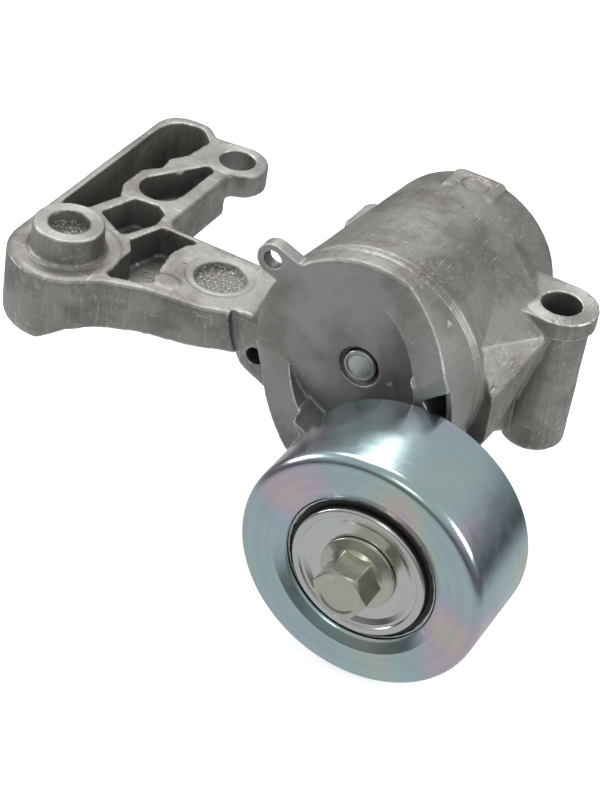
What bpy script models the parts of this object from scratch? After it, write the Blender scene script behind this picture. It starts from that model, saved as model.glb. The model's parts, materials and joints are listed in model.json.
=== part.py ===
"""Belt tensioner idler: a cast bracket with a spring drum, a swinging arm and a smooth pulley.

Frame: +Z up along the mounting bolts, +Y from the pulley's front face to the rear, +X right.
The origin is on the axis of the long right-hand bolt column, in its seat plane.
"""

import math

import bmesh
import bpy
from mathutils import Matrix, Vector

MM = 0.001

# Clearances
FIT = 0.3 * MM  # between two pieces that sit together
RUN = 0.35 * MM  # between two pieces that turn on each other
FACE_GAP = 0.5 * MM  # between the arm's disc and the drum's mouth

# Roundness
COARSE = 20
MEDIUM = 32
FINE = 48

# Pivot of the arm: an axis along Y
COLUMN_GAP = 6.5 * MM  # from the drum's side to the bolt column's axis
PIVOT_Z = 30.2 * MM
ARM_LENGTH = 40.6 * MM
ARM_ANGLE = math.radians(-48.0)

# Spring drum, part of the casting
MOUTH_Y = -36.2 * MM
DRUM_LENGTH = 65.0 * MM
DRUM_RADIUS = 33.0 * MM
DRUM_TAPER = 5.0 * MM
DRUM_EDGE_ROUND = 3.0 * MM
DRUM_WALL = 4.4 * MM
DRUM_REAR_WALL = 6.0 * MM
MOUTH_STEP = 0.8 * MM
MOUTH_LAND = 1.4 * MM
HUB_WALL = 2.55 * MM
HUB_RECESS = 2.5 * MM
PAD_WIDTH = 16.5 * MM
PAD_LENGTH = 12.0 * MM
PAD_HEIGHT = 28.3 * MM
PAD_SPOT_RADIUS = 4.3 * MM
PAD_SPOT_DEPTH = 0.6 * MM

# Right-hand bolt column and its ear
COLUMN_RADIUS = 9.6 * MM
EAR_TOP = 46.2 * MM
EAR_THICKNESS = 5.5 * MM
EAR_RADIUS = 10.8 * MM
BOLT_HOLE_RADIUS = 5.9 * MM

# Bracket on the left of the drum
BRACKET_TOP = 27.0 * MM
BRACKET_BOTTOM = 13.5 * MM
LIMB_SLOPE_START = -26.0 * MM
LIMB_SLOPE_END = 0.0 * MM
POCKET_FLOOR = 17.0 * MM
DEEP_FLOOR = 10.0 * MM
DEEP_BOTTOM = 7.0 * MM
DEEP_RIGHT = -130.4 * MM
LOOP = Vector((-131.2, 3.8, 0)) * MM
LOOP_RADIUS = 7.0 * MM
LOOP_TIP = Vector((-126.0, 21.6, 0)) * MM
LOOP_TIP_RADIUS = 2.2 * MM
BRACKET_LEFT = -152.9 * MM
BRACKET_REAR = 45.2 * MM
LIMB_RIGHT = -118.9 * MM
ARM_REAR_Y = -12.2 * MM
LEFT_BOSS = Vector((-135.4, -41.9, 0)) * MM
LEFT_BOSS_TOP = 36.0 * MM
LEFT_BOSS_RADIUS = 10.4 * MM
LEFT_BOSS_FOOT = 10.9 * MM
LEFT_BOSS_OUTER = 17.5 * MM
FOOT_HEIGHT = 4.0 * MM  # how much higher the left foot is than the column's foot
FOOT_ROUND = 3.5 * MM
LEFT_STEP_RADIUS = 15.7 * MM
LEFT_CORE_RADIUS = 6.4 * MM
LEFT_CORE_DEPTH = 5.0 * MM
MID_BOSS = Vector((-93.5, -25.2, 0)) * MM
MID_RING_RADIUS = 10.4 * MM
MID_CORE_RADIUS = 7.9 * MM
MID_CORE_DEPTH = 3.0 * MM
SMALL_BOSS = Vector((-134.4, 17.0, 0)) * MM
SMALL_BOSS_RADIUS = 3.3 * MM
OVAL_PAD = Vector((-104.4, -37.6, 0)) * MM
OVAL_PAD_RADIUS = 3.0 * MM
REAR_EAR = Vector((-121.4, 32.8, 0)) * MM
REAR_EAR_RADIUS = 9.7 * MM
REAR_EAR_THICKNESS = 8.0 * MM
REAR_EAR_HOLE = 5.75 * MM
LOCK_STANDOFF = 4.7 * MM  # from the drum's outline out to the locking holes
LOCK_HOLE_RADIUS = 2.8 * MM
LOCK_ARM_ANGLE = math.radians(144.6)
LOCK_HOUSING_ANGLE = math.radians(-155.0)
LOCK_LUG_RADIUS = 6.3 * MM
LOCK_LUG_DEPTH = 12.0 * MM
LOCK_HOLE_DEPTH = 9.0 * MM

# Arm
ARM_SHORTFALL = 0.2 * MM  # how far the disc stays inside the drum's outline
ARM_DISC = 6.0 * MM
RAIL_INNER_RADIUS = 22.0 * MM
RAIL_HEIGHT = 10.8 * MM
RAIL_SLOPE = 0.46
RAIL_SLOPE_ANGLE = math.radians(-40.0)
RAIL_SLOPE_START = -12.0 * MM
RAIL_RIGHT_START = math.radians(80.0)
RAIL_RIGHT_END = math.radians(11.6)
RAIL_RIGHT_SLANT = math.radians(9.7)  # how much earlier the outer side ends
RAIL_LEFT_START = math.radians(-161.0)
RAIL_LEFT_END = math.radians(-113.0)
RIM_WALL = 2.0 * MM
EYELET_RADIUS = 4.9 * MM
EYELET_THICKNESS = 4.5 * MM
SPIGOT_SHOULDER = 3.7 * MM  # from the bearing's bore out to the spigot's shoulder
PULLEY_BOSS_RADIUS = 15.0 * MM
LINING_ROOM = 2.4 * MM  # from the skirt to the drum's bore, for the sleeve and the dust ring
SKIRT_WALL = 2.4 * MM
SKIRT_DEPTH = 9.0 * MM

# Pivot shaft, its bushes, washers and ring
SHAFT_RADIUS = 8.0 * MM
SHAFT_FRONT_RADIUS = 4.85 * MM
SHAFT_REAR_RADIUS = 6.0 * MM
SHAFT_FACE_RADIUS = 3.9 * MM
COUNTERBORE_RADIUS = 6.4 * MM
COUNTERBORE_DEPTH = 1.2 * MM
BUSH_WALL = 1.8 * MM
BUSH_LENGTH = 20.0 * MM
WASHER_THICKNESS = 1.5 * MM
RING_THICKNESS = 1.2 * MM
REAR_RECESS_RADIUS = 12.5 * MM
REAR_RECESS_DEPTH = 4.5 * MM
REAR_BORE_WALL = 4.3 * MM

# Torsion spring, its guide and the friction sleeve
SPRING_WIRE = 5.0 * MM
SPRING_TURNS = 7.25
SPRING_STEPS = 16
SPRING_SIDES = 6
GUIDE_WALL = 1.6 * MM
SLEEVE_WALL = 1.6 * MM

# Pulley
PULLEY_RADIUS = 36.0 * MM
PULLEY_WIDTH = 31.0 * MM
PULLEY_WALL = 3.2 * MM
PULLEY_EDGE_ROUND = 3.8 * MM
PULLEY_LIP = 1.8 * MM  # from the bearing's outside to where the flat face starts
PULLEY_FRONT_Y = -86.2 * MM

# Ball bearing
BEARING_OUTER = 23.5 * MM
BEARING_BORE = 8.5 * MM
BEARING_WIDTH = 14.0 * MM
BEARING_INSET = 2.5 * MM
BALL_RADIUS = 4.3655 * MM
BALL_COUNT = 7
OUTER_SHOULDER_RISE = 3.3 * MM  # from the ball pitch out to the outer ring's shoulder
INNER_SHOULDER_FALL = 3.5 * MM  # from the ball pitch in to the inner ring's shoulder
SEAL_SEAT_WALL = 1.9 * MM
SEAL_THICKNESS = 1.0 * MM
SEAL_DEPTH = 1.5 * MM
CAGE_WALL = 2.2 * MM
CAGE_WIDTH = 10.6 * MM
CAGE_PLAY = 0.6 * MM  # room round each ball

# Dust covers and bolt
COVER_SHORTFALL = 1.8 * MM  # how far the covers stay inside the seals' outer edge
COVER_SHEET = 0.9 * MM
COVER_SLOPE = 3.3 * MM  # from the cover's floor out to its edge
COVER_LIP = 1.9 * MM
BOLT_RADIUS = 4.85 * MM
BOLT_LENGTH = 34.0 * MM
BOLT_FLANGE_RADIUS = 10.9 * MM
BOLT_FLANGE_HEIGHT = 2.0 * MM
BOLT_HEAD_FLATS = 14.0 * MM
BOLT_HEAD_HEIGHT = 9.5 * MM
BOLT_HEAD_CHAMFER = 1.3 * MM

# Sizes that follow
PIVOT_X = -(DRUM_RADIUS + COLUMN_GAP)
DRUM_REAR_RADIUS = DRUM_RADIUS - DRUM_TAPER
ARM_RADIUS = DRUM_RADIUS - ARM_SHORTFALL
LOCK_RADIUS = DRUM_RADIUS + LOCK_STANDOFF
BALL_PITCH = (BEARING_OUTER + BEARING_BORE) / 2
OUTER_SHOULDER = BALL_PITCH + OUTER_SHOULDER_RISE
INNER_SHOULDER = BALL_PITCH - INNER_SHOULDER_FALL
SEAL_RADIUS = BEARING_OUTER - SEAL_SEAT_WALL
PULLEY_FACE_INNER = BEARING_OUTER + PULLEY_LIP
COVER_RADIUS = SEAL_RADIUS - COVER_SHORTFALL
COVER_FLOOR_RADIUS = COVER_RADIUS - COVER_SLOPE
DRUM_REAR_Y = MOUTH_Y + DRUM_LENGTH
ARM_REAR_FACE = MOUTH_Y - FACE_GAP
ARM_FLOOR = ARM_REAR_FACE - ARM_DISC
RAIL_FRONT = ARM_FLOOR - RAIL_HEIGHT
PULLEY_X = PIVOT_X + ARM_LENGTH * math.cos(ARM_ANGLE)
PULLEY_Z = PIVOT_Z + ARM_LENGTH * math.sin(ARM_ANGLE)
BEARING_FRONT = PULLEY_FRONT_Y + BEARING_INSET
SPIGOT_RADIUS = BEARING_BORE + SPIGOT_SHOULDER
BEARING_REAR = BEARING_FRONT + BEARING_WIDTH
BEARING_MIDDLE = BEARING_FRONT + BEARING_WIDTH / 2
CAVITY_REAR = DRUM_REAR_Y - DRUM_REAR_WALL
BUSH_OUTER = SHAFT_RADIUS + RUN + BUSH_WALL
HUB_BORE = BUSH_OUTER + FIT
HUB_RADIUS = HUB_BORE + HUB_WALL
HUB_FRONT = MOUTH_Y + HUB_RECESS
BORE_END = DRUM_REAR_Y - REAR_RECESS_DEPTH - REAR_BORE_WALL
MOUTH_BORE = DRUM_RADIUS - DRUM_WALL
REAR_BORE = DRUM_REAR_RADIUS - DRUM_WALL
SKIRT_OUTER = MOUTH_BORE - LINING_ROOM
GUIDE_OUTER = HUB_RADIUS + FIT + GUIDE_WALL
SPRING_RADIUS = (GUIDE_OUTER + REAR_BORE) / 2


def clear_scene():
    for obj in list(bpy.data.objects):
        bpy.data.objects.remove(obj)


def material(name, colour, roughness, metallic):
    made = bpy.data.materials.new(name)
    made.use_nodes = True
    shader = made.node_tree.nodes["Principled BSDF"]
    shader.inputs["Base Color"].default_value = (*colour, 1.0)
    shader.inputs["Roughness"].default_value = roughness
    shader.inputs["Metallic"].default_value = metallic
    return made


def axis_empty(name, x, z):
    """An empty on a turning axis, which the pieces on that axis hang from."""
    empty = bpy.data.objects.new(name, None)
    empty.location = (x, 0, z)
    bpy.context.scene.collection.objects.link(empty)
    return empty


def to_object(name, mesh, finish=None, parent=None):
    """Turns a bmesh into a named object, shaded smooth apart from its sharp edges."""
    bmesh.ops.remove_doubles(mesh, verts=mesh.verts, dist=1e-7)
    bmesh.ops.recalc_face_normals(mesh, faces=mesh.faces)
    data = bpy.data.meshes.new(name)
    mesh.to_mesh(data)
    mesh.free()
    data.shade_smooth()
    data.set_sharp_from_angle(angle=math.radians(35))
    if finish:
        data.materials.append(finish)
    obj = bpy.data.objects.new(name, data)
    obj.parent = parent
    bpy.context.scene.collection.objects.link(obj)
    return obj


def turned(name, profile, steps, finish=None, parent=None):
    """Spins a closed profile of (radius, y) points about the local Y axis."""
    mesh = bmesh.new()
    points = [mesh.verts.new((radius, y, 0)) for radius, y in profile]
    pairs = zip(points, points[1:] + points[:1])
    edges = [mesh.edges.new(pair) for pair in pairs if any(point.co.x for point in pair)]
    bmesh.ops.spin(
        mesh,
        geom=points + edges,
        cent=(0, 0, 0),
        axis=(0, 1, 0),
        angle=2 * math.pi,
        steps=steps,
        use_merge=True,
    )
    return to_object(name, mesh, finish, parent)


def prism(name, outline, low, high, along, finish=None, parent=None, top_round=0):
    """Extrudes an outline of 2-D points from low to high along Y or Z."""
    mesh = bmesh.new()
    if along == "Z":
        points = [mesh.verts.new((a, b, low)) for a, b in outline]
        step = Vector((0, 0, high - low))
    else:
        points = [mesh.verts.new((a, low, b)) for a, b in outline]
        step = Vector((0, high - low, 0))
    face = mesh.faces.new(points)
    made = bmesh.ops.extrude_face_region(mesh, geom=[face])["geom"]
    moved = [item for item in made if isinstance(item, bmesh.types.BMVert)]
    bmesh.ops.translate(mesh, verts=moved, vec=step)
    if top_round:
        edges = [item for item in made if isinstance(item, bmesh.types.BMEdge)]
        bmesh.ops.bevel(
            mesh, geom=edges, offset=top_round, segments=3, profile=0.5, affect="EDGES"
        )
    return to_object(name, mesh, finish, parent)


def arc(centre, radius, start, end, steps):
    """Points on an arc, from one angle to the other, both ends included."""
    return [
        (
            centre[0] + radius * math.cos(start + (end - start) * i / steps),
            centre[1] + radius * math.sin(start + (end - start) * i / steps),
        )
        for i in range(steps + 1)
    ]


def circle(centre, radius, steps):
    return arc(centre, radius, 0, 2 * math.pi, steps)[:-1]


def rounded(corners, steps=4, closed=True):
    """An outline whose corners (x, y, radius) are rounded, each in a few short chords."""
    outline = []
    for i, (x, y, radius) in enumerate(corners):
        at_end = i in (0, len(corners) - 1)
        if radius <= 0 or (at_end and not closed):
            outline.append((x, y))
            continue
        here = Vector((x, y))
        before = (Vector(corners[i - 1][:2]) - here).normalized()
        after = (Vector(corners[(i + 1) % len(corners)][:2]) - here).normalized()
        half = before.angle(after) / 2
        reach = radius / math.tan(half)
        middle = here + (before + after).normalized() * radius / math.sin(half)
        first = here + before * reach - middle
        sweep = first.angle_signed(here + after * reach - middle)
        for step in range(steps + 1):
            turn = Matrix.Rotation(-sweep * step / steps, 2)
            outline.append(tuple(middle + turn @ first))
    return outline


def wrapped(circles, steps):
    """The outline that a band pulled tight round some circles (x, y, radius) takes."""
    cloud = []
    for x, y, radius in circles:
        cloud += circle((x, y), radius, steps)
    cloud.sort()
    chains = []
    for points in (cloud, cloud[::-1]):
        chain = []
        for point in points:
            while len(chain) > 1 and turn_of(chain[-2], chain[-1], point) <= 0:
                chain.pop()
            chain.append(point)
        chains.append(chain[:-1])
    return chains[0] + chains[1]


def turn_of(a, b, c):
    """Twice the signed area of the triangle a, b, c."""
    return (b[0] - a[0]) * (c[1] - a[1]) - (b[1] - a[1]) * (c[0] - a[0])


def hull(name, points):
    """The convex solid round a few corner points."""
    mesh = bmesh.new()
    for point in points:
        mesh.verts.new(point)
    made = bmesh.ops.convex_hull(mesh, input=mesh.verts)
    loose = [item for item in made["geom_interior"] if isinstance(item, bmesh.types.BMVert)]
    bmesh.ops.delete(mesh, geom=loose, context="VERTS")
    return to_object(name, mesh)


def combine(obj, tool, operation):
    """Adds a live Boolean, and leaves its tool out of the render."""
    modifier = obj.modifiers.new(tool.name, "BOOLEAN")
    modifier.operation = operation
    modifier.object = tool
    modifier.solver = "MANIFOLD"
    tool.hide_render = True
    tool.display_type = "WIRE"


def add(obj, tool):
    combine(obj, tool, "UNION")


def cut(obj, tool):
    combine(obj, tool, "DIFFERENCE")


def polar(radius, angle):
    return radius * math.cos(angle), radius * math.sin(angle)


def scaled(corners):
    return [tuple(value * MM for value in corner) for corner in corners]


def drum_radius_at(y):
    """The drum's outer radius, which its draft makes smaller towards the rear."""
    share = (y - MOUTH_Y) / DRUM_LENGTH
    return DRUM_RADIUS + (DRUM_REAR_RADIUS - DRUM_RADIUS) * share


def bracket_outline():
    """The bracket in plan: a limb along Y on the left, and an arm along X to the drum."""
    drum_x = PIVOT_X - DRUM_RADIUS / 2
    front_arc = arc(LEFT_BOSS.xy, LEFT_BOSS_OUTER, math.radians(180), math.radians(305), 14)
    front = [(*front_arc[-1], 0)]
    front += scaled([(-118.6, -50.0, 9), (-107.0, -45.4, 14), (-91.0, -43.2, 14)])
    front += scaled([(-79.0, -38.8, 0.5), (-79.0, -37.4, 0.5)])
    front += [(drum_x, -37.4 * MM, 0), (drum_x, ARM_REAR_Y, 0), (LIMB_RIGHT, ARM_REAR_Y, 4 * MM)]
    ear_arc = arc(REAR_EAR.xy, REAR_EAR_RADIUS, math.radians(-40), math.radians(105), 12)
    front += [(LIMB_RIGHT, REAR_EAR.y - 9 * MM, 3 * MM), (*ear_arc[0], 0)]
    rear = [
        (*ear_arc[-1], 0),
        (REAR_EAR.x - 12 * MM, REAR_EAR.y + 8 * MM, 3 * MM),
        (REAR_EAR.x - 17 * MM, BRACKET_REAR, 4 * MM),
        (BRACKET_LEFT, BRACKET_REAR, 9 * MM),
        (BRACKET_LEFT, BRACKET_REAR - 20 * MM, 0),
    ]
    chains = rounded(front, closed=False)[1:-1], rounded(rear, closed=False)[1:]
    return front_arc + chains[0] + ear_arc + chains[1]


def bracket_pockets():
    """The hollows between the bracket's ribs: an outline in plan, and the height of the floor."""
    front = [
        (-120.0, -46.6, 2),
        (-109.8, -43.0, 2),
        (-106.6, -39.6, 1.5),
        (-109.2, -33.0, 3),
        (-110.8, -24.2, 6),
        (-109.4, -18.0, 3),
        (-106.4, -14.6, 1),
        (-119.8, -14.6, 1.5),
        (-123.6, -26.4, 1),
        (-120.4, -31.0, 1.5),
    ]
    corner = [
        (-138.4, -19.3, 1.5),
        (-126.8, -26.0, 2),
        (-122.0, -14.8, 1.5),
        (-122.8, -8.2, 1.5),
        (-126.4, -5.4, 2),
        (-134.4, -6.6, 1.5),
    ]
    side = [
        (-150.2, -25.4, 2),
        (-142.2, -19.2, 1.5),
        (-138.4, -8.4, 1.5),
        (-141.6, -1.8, 4),
        (-141.4, 8.6, 4),
        (-137.2, 13.6, 1.5),
        (-138.0, 19.6, 2),
        (-134.8, 25.0, 2),
        (-133.6, 36.4, 2.5),
        (-138.6, 41.6, 3),
        (-150.2, 41.6, 8),
    ]
    loop = wrapped([(LOOP.x, LOOP.y, LOOP_RADIUS), (LOOP_TIP.x, LOOP_TIP.y, LOOP_TIP_RADIUS)], COARSE)
    return {
        "front_pocket": (rounded(scaled(front), 3), POCKET_FLOOR),
        "corner_pocket": (rounded(scaled(corner), 3), POCKET_FLOOR),
        "side_pocket": (rounded(scaled(side), 3), DEEP_FLOOR),
        "loop_pocket": (loop, POCKET_FLOOR),
    }


def make_bracket(finish):
    """The casting starts as the bracket, and its other parts are added to it."""
    casting = prism(
        "housing", bracket_outline(), 0, BRACKET_TOP, "Z", finish, top_round=1.2 * MM
    )
    for name, points in underside_points().items():
        cut(casting, hull(name, points))
    for name, (outline, floor) in bracket_pockets().items():
        cut(casting, prism(name, outline, floor, BRACKET_TOP + 5 * MM, "Z"))
    return casting


def arm_underside():
    """The space under the bracket's arm, which arches up from the left foot to the drum."""
    arch = scaled([(-135.0, 4.0), (-130.4, 7.3), (-125.5, 10.3), (-107.0, 11.8), (-84.0, 13.6)])
    far = BRACKET_LEFT * 1.2
    below = -5 * MM
    return [(far, below), (far, FOOT_HEIGHT), *arch, (PIVOT_X, arch[-1][1]), (PIVOT_X, below)]


def underside_points():
    """The limb's underside rises from the left foot towards the rear."""
    below = -5 * MM
    reach = BRACKET_REAR * 2
    far = BRACKET_LEFT * 1.2
    undersides = {}
    for name, left, right, bottom in (
        ("limb_underside", DEEP_RIGHT, PIVOT_X, BRACKET_BOTTOM),
        ("deep_underside", far, DEEP_RIGHT, DEEP_BOTTOM),
    ):
        side = [(LIMB_SLOPE_START, below), (LIMB_SLOPE_START, FOOT_HEIGHT), (LIMB_SLOPE_END, bottom)]
        side += [(reach, bottom), (reach, below)]
        undersides[name] = [(x, y, z) for y, z in side for x in (left, right)]
    return undersides


def boss(name, centre, profile, steps=COARSE):
    """A turned tool stood upright on a point of the plan."""
    tool = turned(name, profile, steps)
    tool.rotation_euler = (math.radians(90), 0, 0)
    tool.location = (centre.x, centre.y, 0)
    return tool


def add_left_boss(casting):
    foot = LEFT_BOSS_OUTER - 1.5 * MM
    profile = [
        (0, FOOT_HEIGHT),
        (foot - FOOT_ROUND, FOOT_HEIGHT),
        (foot, FOOT_HEIGHT + FOOT_ROUND),
        (foot, BRACKET_TOP - 1.2 * MM),
        (LEFT_STEP_RADIUS, BRACKET_TOP + 0.3 * MM),
        (LEFT_BOSS_FOOT + 1 * MM, BRACKET_TOP + 0.3 * MM),
        (LEFT_BOSS_FOOT, BRACKET_TOP + 1.2 * MM),
        (LEFT_BOSS_RADIUS, LEFT_BOSS_TOP - 0.5 * MM),
        (LEFT_BOSS_RADIUS - 0.5 * MM, LEFT_BOSS_TOP),
        (0, LEFT_BOSS_TOP),
    ]
    add(casting, boss("left_boss", LEFT_BOSS, profile, MEDIUM))
    core = [
        (0, LEFT_BOSS_TOP - LEFT_CORE_DEPTH),
        (LEFT_CORE_RADIUS - 1.4 * MM, LEFT_BOSS_TOP - LEFT_CORE_DEPTH),
        (LEFT_CORE_RADIUS, LEFT_BOSS_TOP + 1 * MM),
        (0, LEFT_BOSS_TOP + 1 * MM),
    ]
    cut(casting, boss("left_boss_core", LEFT_BOSS, core))
    inner = LEFT_BOSS_OUTER - FOOT_ROUND
    outer = LEFT_BOSS_OUTER + 1.5 * MM
    middle = (inner, FOOT_HEIGHT + FOOT_ROUND)
    ring = arc(middle, FOOT_ROUND, math.radians(-90), 0, 4)
    ring += [(outer, middle[1]), (outer, FOOT_HEIGHT - 1 * MM), (inner, FOOT_HEIGHT - 1 * MM)]
    cut(casting, boss("foot_round", LEFT_BOSS, ring, MEDIUM))
    front = LEFT_BOSS.y - 2 * LEFT_BOSS_OUTER
    cut(casting, prism("arm_underside", arm_underside(), front, ARM_REAR_Y + 2 * MM, "Y"))


def add_middle_boss(casting):
    cut_profile = [
        (0, BRACKET_TOP - MID_CORE_DEPTH),
        (MID_CORE_RADIUS - 1 * MM, BRACKET_TOP - MID_CORE_DEPTH),
        (MID_CORE_RADIUS, BRACKET_TOP - 0.4 * MM),
        (MID_RING_RADIUS, BRACKET_TOP - 0.4 * MM),
        (MID_RING_RADIUS, BRACKET_TOP + 1 * MM),
        (0, BRACKET_TOP + 1 * MM),
    ]
    cut(casting, boss("middle_boss_core", MID_BOSS, cut_profile))


def add_small_pads(casting):
    """A small round boss by the loop, and an oval pad beside the middle boss."""
    small = circle(SMALL_BOSS.xy, SMALL_BOSS_RADIUS, COARSE)
    low = DEEP_FLOOR - 1 * MM
    add(casting, prism("small_boss", small, low, BRACKET_TOP - 0.8 * MM, "Z"))
    oval = [(OVAL_PAD.x + a * 1.35, OVAL_PAD.y + b) for a, b in circle((0, 0), OVAL_PAD_RADIUS, COARSE)]
    add(casting, prism("oval_pad", oval, POCKET_FLOOR - 1 * MM, BRACKET_TOP + 0.3 * MM, "Z"))


def add_rear_ear(casting):
    """Thins the ear from below, and drills it."""
    under = wrapped(
        [
            (REAR_EAR.x, REAR_EAR.y, REAR_EAR_RADIUS + 1 * MM),
            (REAR_EAR.x + 10 * MM, REAR_EAR.y, REAR_EAR_RADIUS),
        ],
        COARSE,
    )
    ear_bottom = BRACKET_TOP - REAR_EAR_THICKNESS
    cut(casting, prism("rear_ear_relief", under, -1 * MM, ear_bottom, "Z"))
    hole = circle(REAR_EAR.xy, REAR_EAR_HOLE, COARSE)
    cut(casting, prism("rear_ear_hole", hole, 0, BRACKET_TOP + 1 * MM, "Z"))


def add_drum(casting):
    """The solid outside of the drum, before it is hollowed."""
    land = DRUM_RADIUS - MOUTH_STEP
    rear = DRUM_REAR_Y
    corner = (DRUM_REAR_RADIUS - DRUM_EDGE_ROUND, rear - DRUM_EDGE_ROUND)
    profile = [(0, MOUTH_Y), (land, MOUTH_Y), (land, MOUTH_Y + MOUTH_LAND)]
    profile.append((DRUM_RADIUS, MOUTH_Y + MOUTH_LAND + MOUTH_STEP))
    profile += arc(corner, DRUM_EDGE_ROUND, 0, math.radians(90), 4)
    profile.append((0, rear))
    drum = turned("drum", profile, FINE)
    drum.location = (PIVOT_X, 0, PIVOT_Z)
    add(casting, drum)


def add_pad(casting):
    """A flat pad on the drum's rear top, with a shallow round spot."""
    half = PAD_WIDTH / 2
    rear = DRUM_REAR_Y - DRUM_EDGE_ROUND / 2
    front = rear - PAD_LENGTH
    outline = rounded(
        [
            (PIVOT_X - half, front, 1 * MM),
            (PIVOT_X + half, front, 1 * MM),
            (PIVOT_X + half, rear, 3 * MM),
            (PIVOT_X - half, rear, 3 * MM),
        ]
    )
    top = PIVOT_Z + PAD_HEIGHT
    add(casting, prism("drum_pad", outline, PIVOT_Z + DRUM_REAR_RADIUS / 2, top, "Z"))
    spot = circle((PIVOT_X, front + PAD_LENGTH / 2), PAD_SPOT_RADIUS, COARSE)
    cut(casting, prism("pad_spot", spot, top - PAD_SPOT_DEPTH, top + 1 * MM, "Z"))


def add_lock_lug(casting):
    """The lug beside the drum's mouth whose blind hole takes the service pin."""
    x, z = polar(LOCK_RADIUS, LOCK_HOUSING_ANGLE)
    toe_x, toe_z = polar(DRUM_RADIUS - 6 * MM, LOCK_HOUSING_ANGLE + math.radians(28))
    head_x, head_z = polar(DRUM_RADIUS - 6 * MM, math.radians(178))
    outline = wrapped(
        [
            (x, z, LOCK_LUG_RADIUS),
            (toe_x, toe_z, 9 * MM),
            (head_x, head_z, 8 * MM),
        ],
        24,
    )
    front = MOUTH_Y - 0.9 * MM
    lug = prism("lock_lug", outline, front, front + LOCK_LUG_DEPTH, "Y")
    lug.location = (PIVOT_X, 0, PIVOT_Z)
    add(casting, lug)
    swept = turned(
        "disc_clearance",
        [
            (0, front - 2 * MM),
            (ARM_RADIUS + FACE_GAP, front - 2 * MM),
            (ARM_RADIUS + FACE_GAP, MOUTH_Y),
            (0, MOUTH_Y),
        ],
        FINE,
    )
    swept.location = (PIVOT_X, 0, PIVOT_Z)
    cut(casting, swept)
    reach = LOCK_RADIUS + EYELET_RADIUS + FACE_GAP
    path = [(0, 2 * MOUTH_Y), (reach, 2 * MOUTH_Y), (reach, front - FIT), (0, front - FIT)]
    eyelet_path = turned("eyelet_path", path, FINE)
    eyelet_path.location = (PIVOT_X, 0, PIVOT_Z)
    cut(casting, eyelet_path)
    hole = prism(
        "lock_hole",
        circle((x, z), LOCK_HOLE_RADIUS, 20),
        front - 1 * MM,
        front + LOCK_HOLE_DEPTH,
        "Y",
    )
    hole.location = (PIVOT_X, 0, PIVOT_Z)
    cut(casting, hole)


def add_column(casting):
    """The long bolt column, its ear and the gusset that ties them to the drum."""
    profile = [
        (0, 0),
        (COLUMN_RADIUS - 1.2 * MM, 0),
        (COLUMN_RADIUS, 1.5 * MM),
        (COLUMN_RADIUS - 0.3 * MM, EAR_TOP - EAR_THICKNESS / 2),
        (0, EAR_TOP - EAR_THICKNESS / 2),
    ]
    add(casting, boss("bolt_column", Vector((0, 0, 0)), profile))
    reach = PIVOT_X + DRUM_RADIUS / 2
    ear = wrapped([(0, 0, EAR_RADIUS), (reach, 0, EAR_RADIUS)], COARSE)
    add(casting, prism("bolt_ear", ear, EAR_TOP - EAR_THICKNESS, EAR_TOP, "Z"))
    add(casting, hull("gusset", gusset_points()))
    drum_front = MOUTH_Y + MOUTH_LAND
    add(casting, hull("drum_foot", foot_points(drum_front)))


def gusset_points():
    """A web that leaves the drum's side on a slant and ends on the column and the ear."""
    front = MOUTH_Y + MOUTH_LAND + 2 * MM
    rear = EAR_RADIUS
    ear = EAR_TOP - 0.4 * MM
    points = [
        (-3.0 * MM, front, PIVOT_Z - 0.7 * MM),
        (-2.6 * MM, front, PIVOT_Z - 14 * MM),
        (-7.0 * MM, front, PIVOT_Z - 24 * MM),
        (1.6 * MM, -COLUMN_RADIUS + 1 * MM, EAR_TOP - EAR_THICKNESS),
        (-7.6 * MM, -COLUMN_RADIUS + 4 * MM, 3 * MM),
        (-5.2 * MM, -3 * MM, ear),
        (-12.5 * MM, rear, ear),
        (-12.5 * MM, rear, 12 * MM),
    ]
    for y, angle in ((front, 26), (-6 * MM, 54), (rear, 56)):
        x, z = polar(drum_radius_at(y) - 0.4 * MM, math.radians(angle))
        points.append((PIVOT_X + x, y, PIVOT_Z + z))
        points.append((PIVOT_X + x / 2, y, PIVOT_Z))
    return points


def foot_points(front):
    """The lower web that carries the drum's underside to the column."""
    points = []
    for y in (front + 4 * MM, EAR_RADIUS - 2 * MM):
        radius = drum_radius_at(y) - 0.6 * MM
        for angle in (-20, -72):
            x, z = polar(radius, math.radians(angle))
            points.append((PIVOT_X + x, y, PIVOT_Z + z))
        points.append((PIVOT_X, y, PIVOT_Z))
    points.append((-4 * MM, -COLUMN_RADIUS + 2 * MM, 4 * MM))
    points.append((-4 * MM, COLUMN_RADIUS - 2 * MM, 4 * MM))
    points.append((-4 * MM, -COLUMN_RADIUS + 2 * MM, 24 * MM))
    return points


def add_rear_lug(casting):
    """A short lug behind the drum on its left."""
    outline = rounded(
        scaled([(-78.8, 24.0, 2), (-66.0, 8.0, 0), (-52.0, 8.0, 0), (-52.0, 26.0, 0),
                (-66.0, 40.0, 3), (-78.4, 40.0, 4)])
    )
    add(casting, prism("rear_lug", outline, BRACKET_BOTTOM + 5 * MM, BRACKET_TOP, "Z"))


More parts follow.
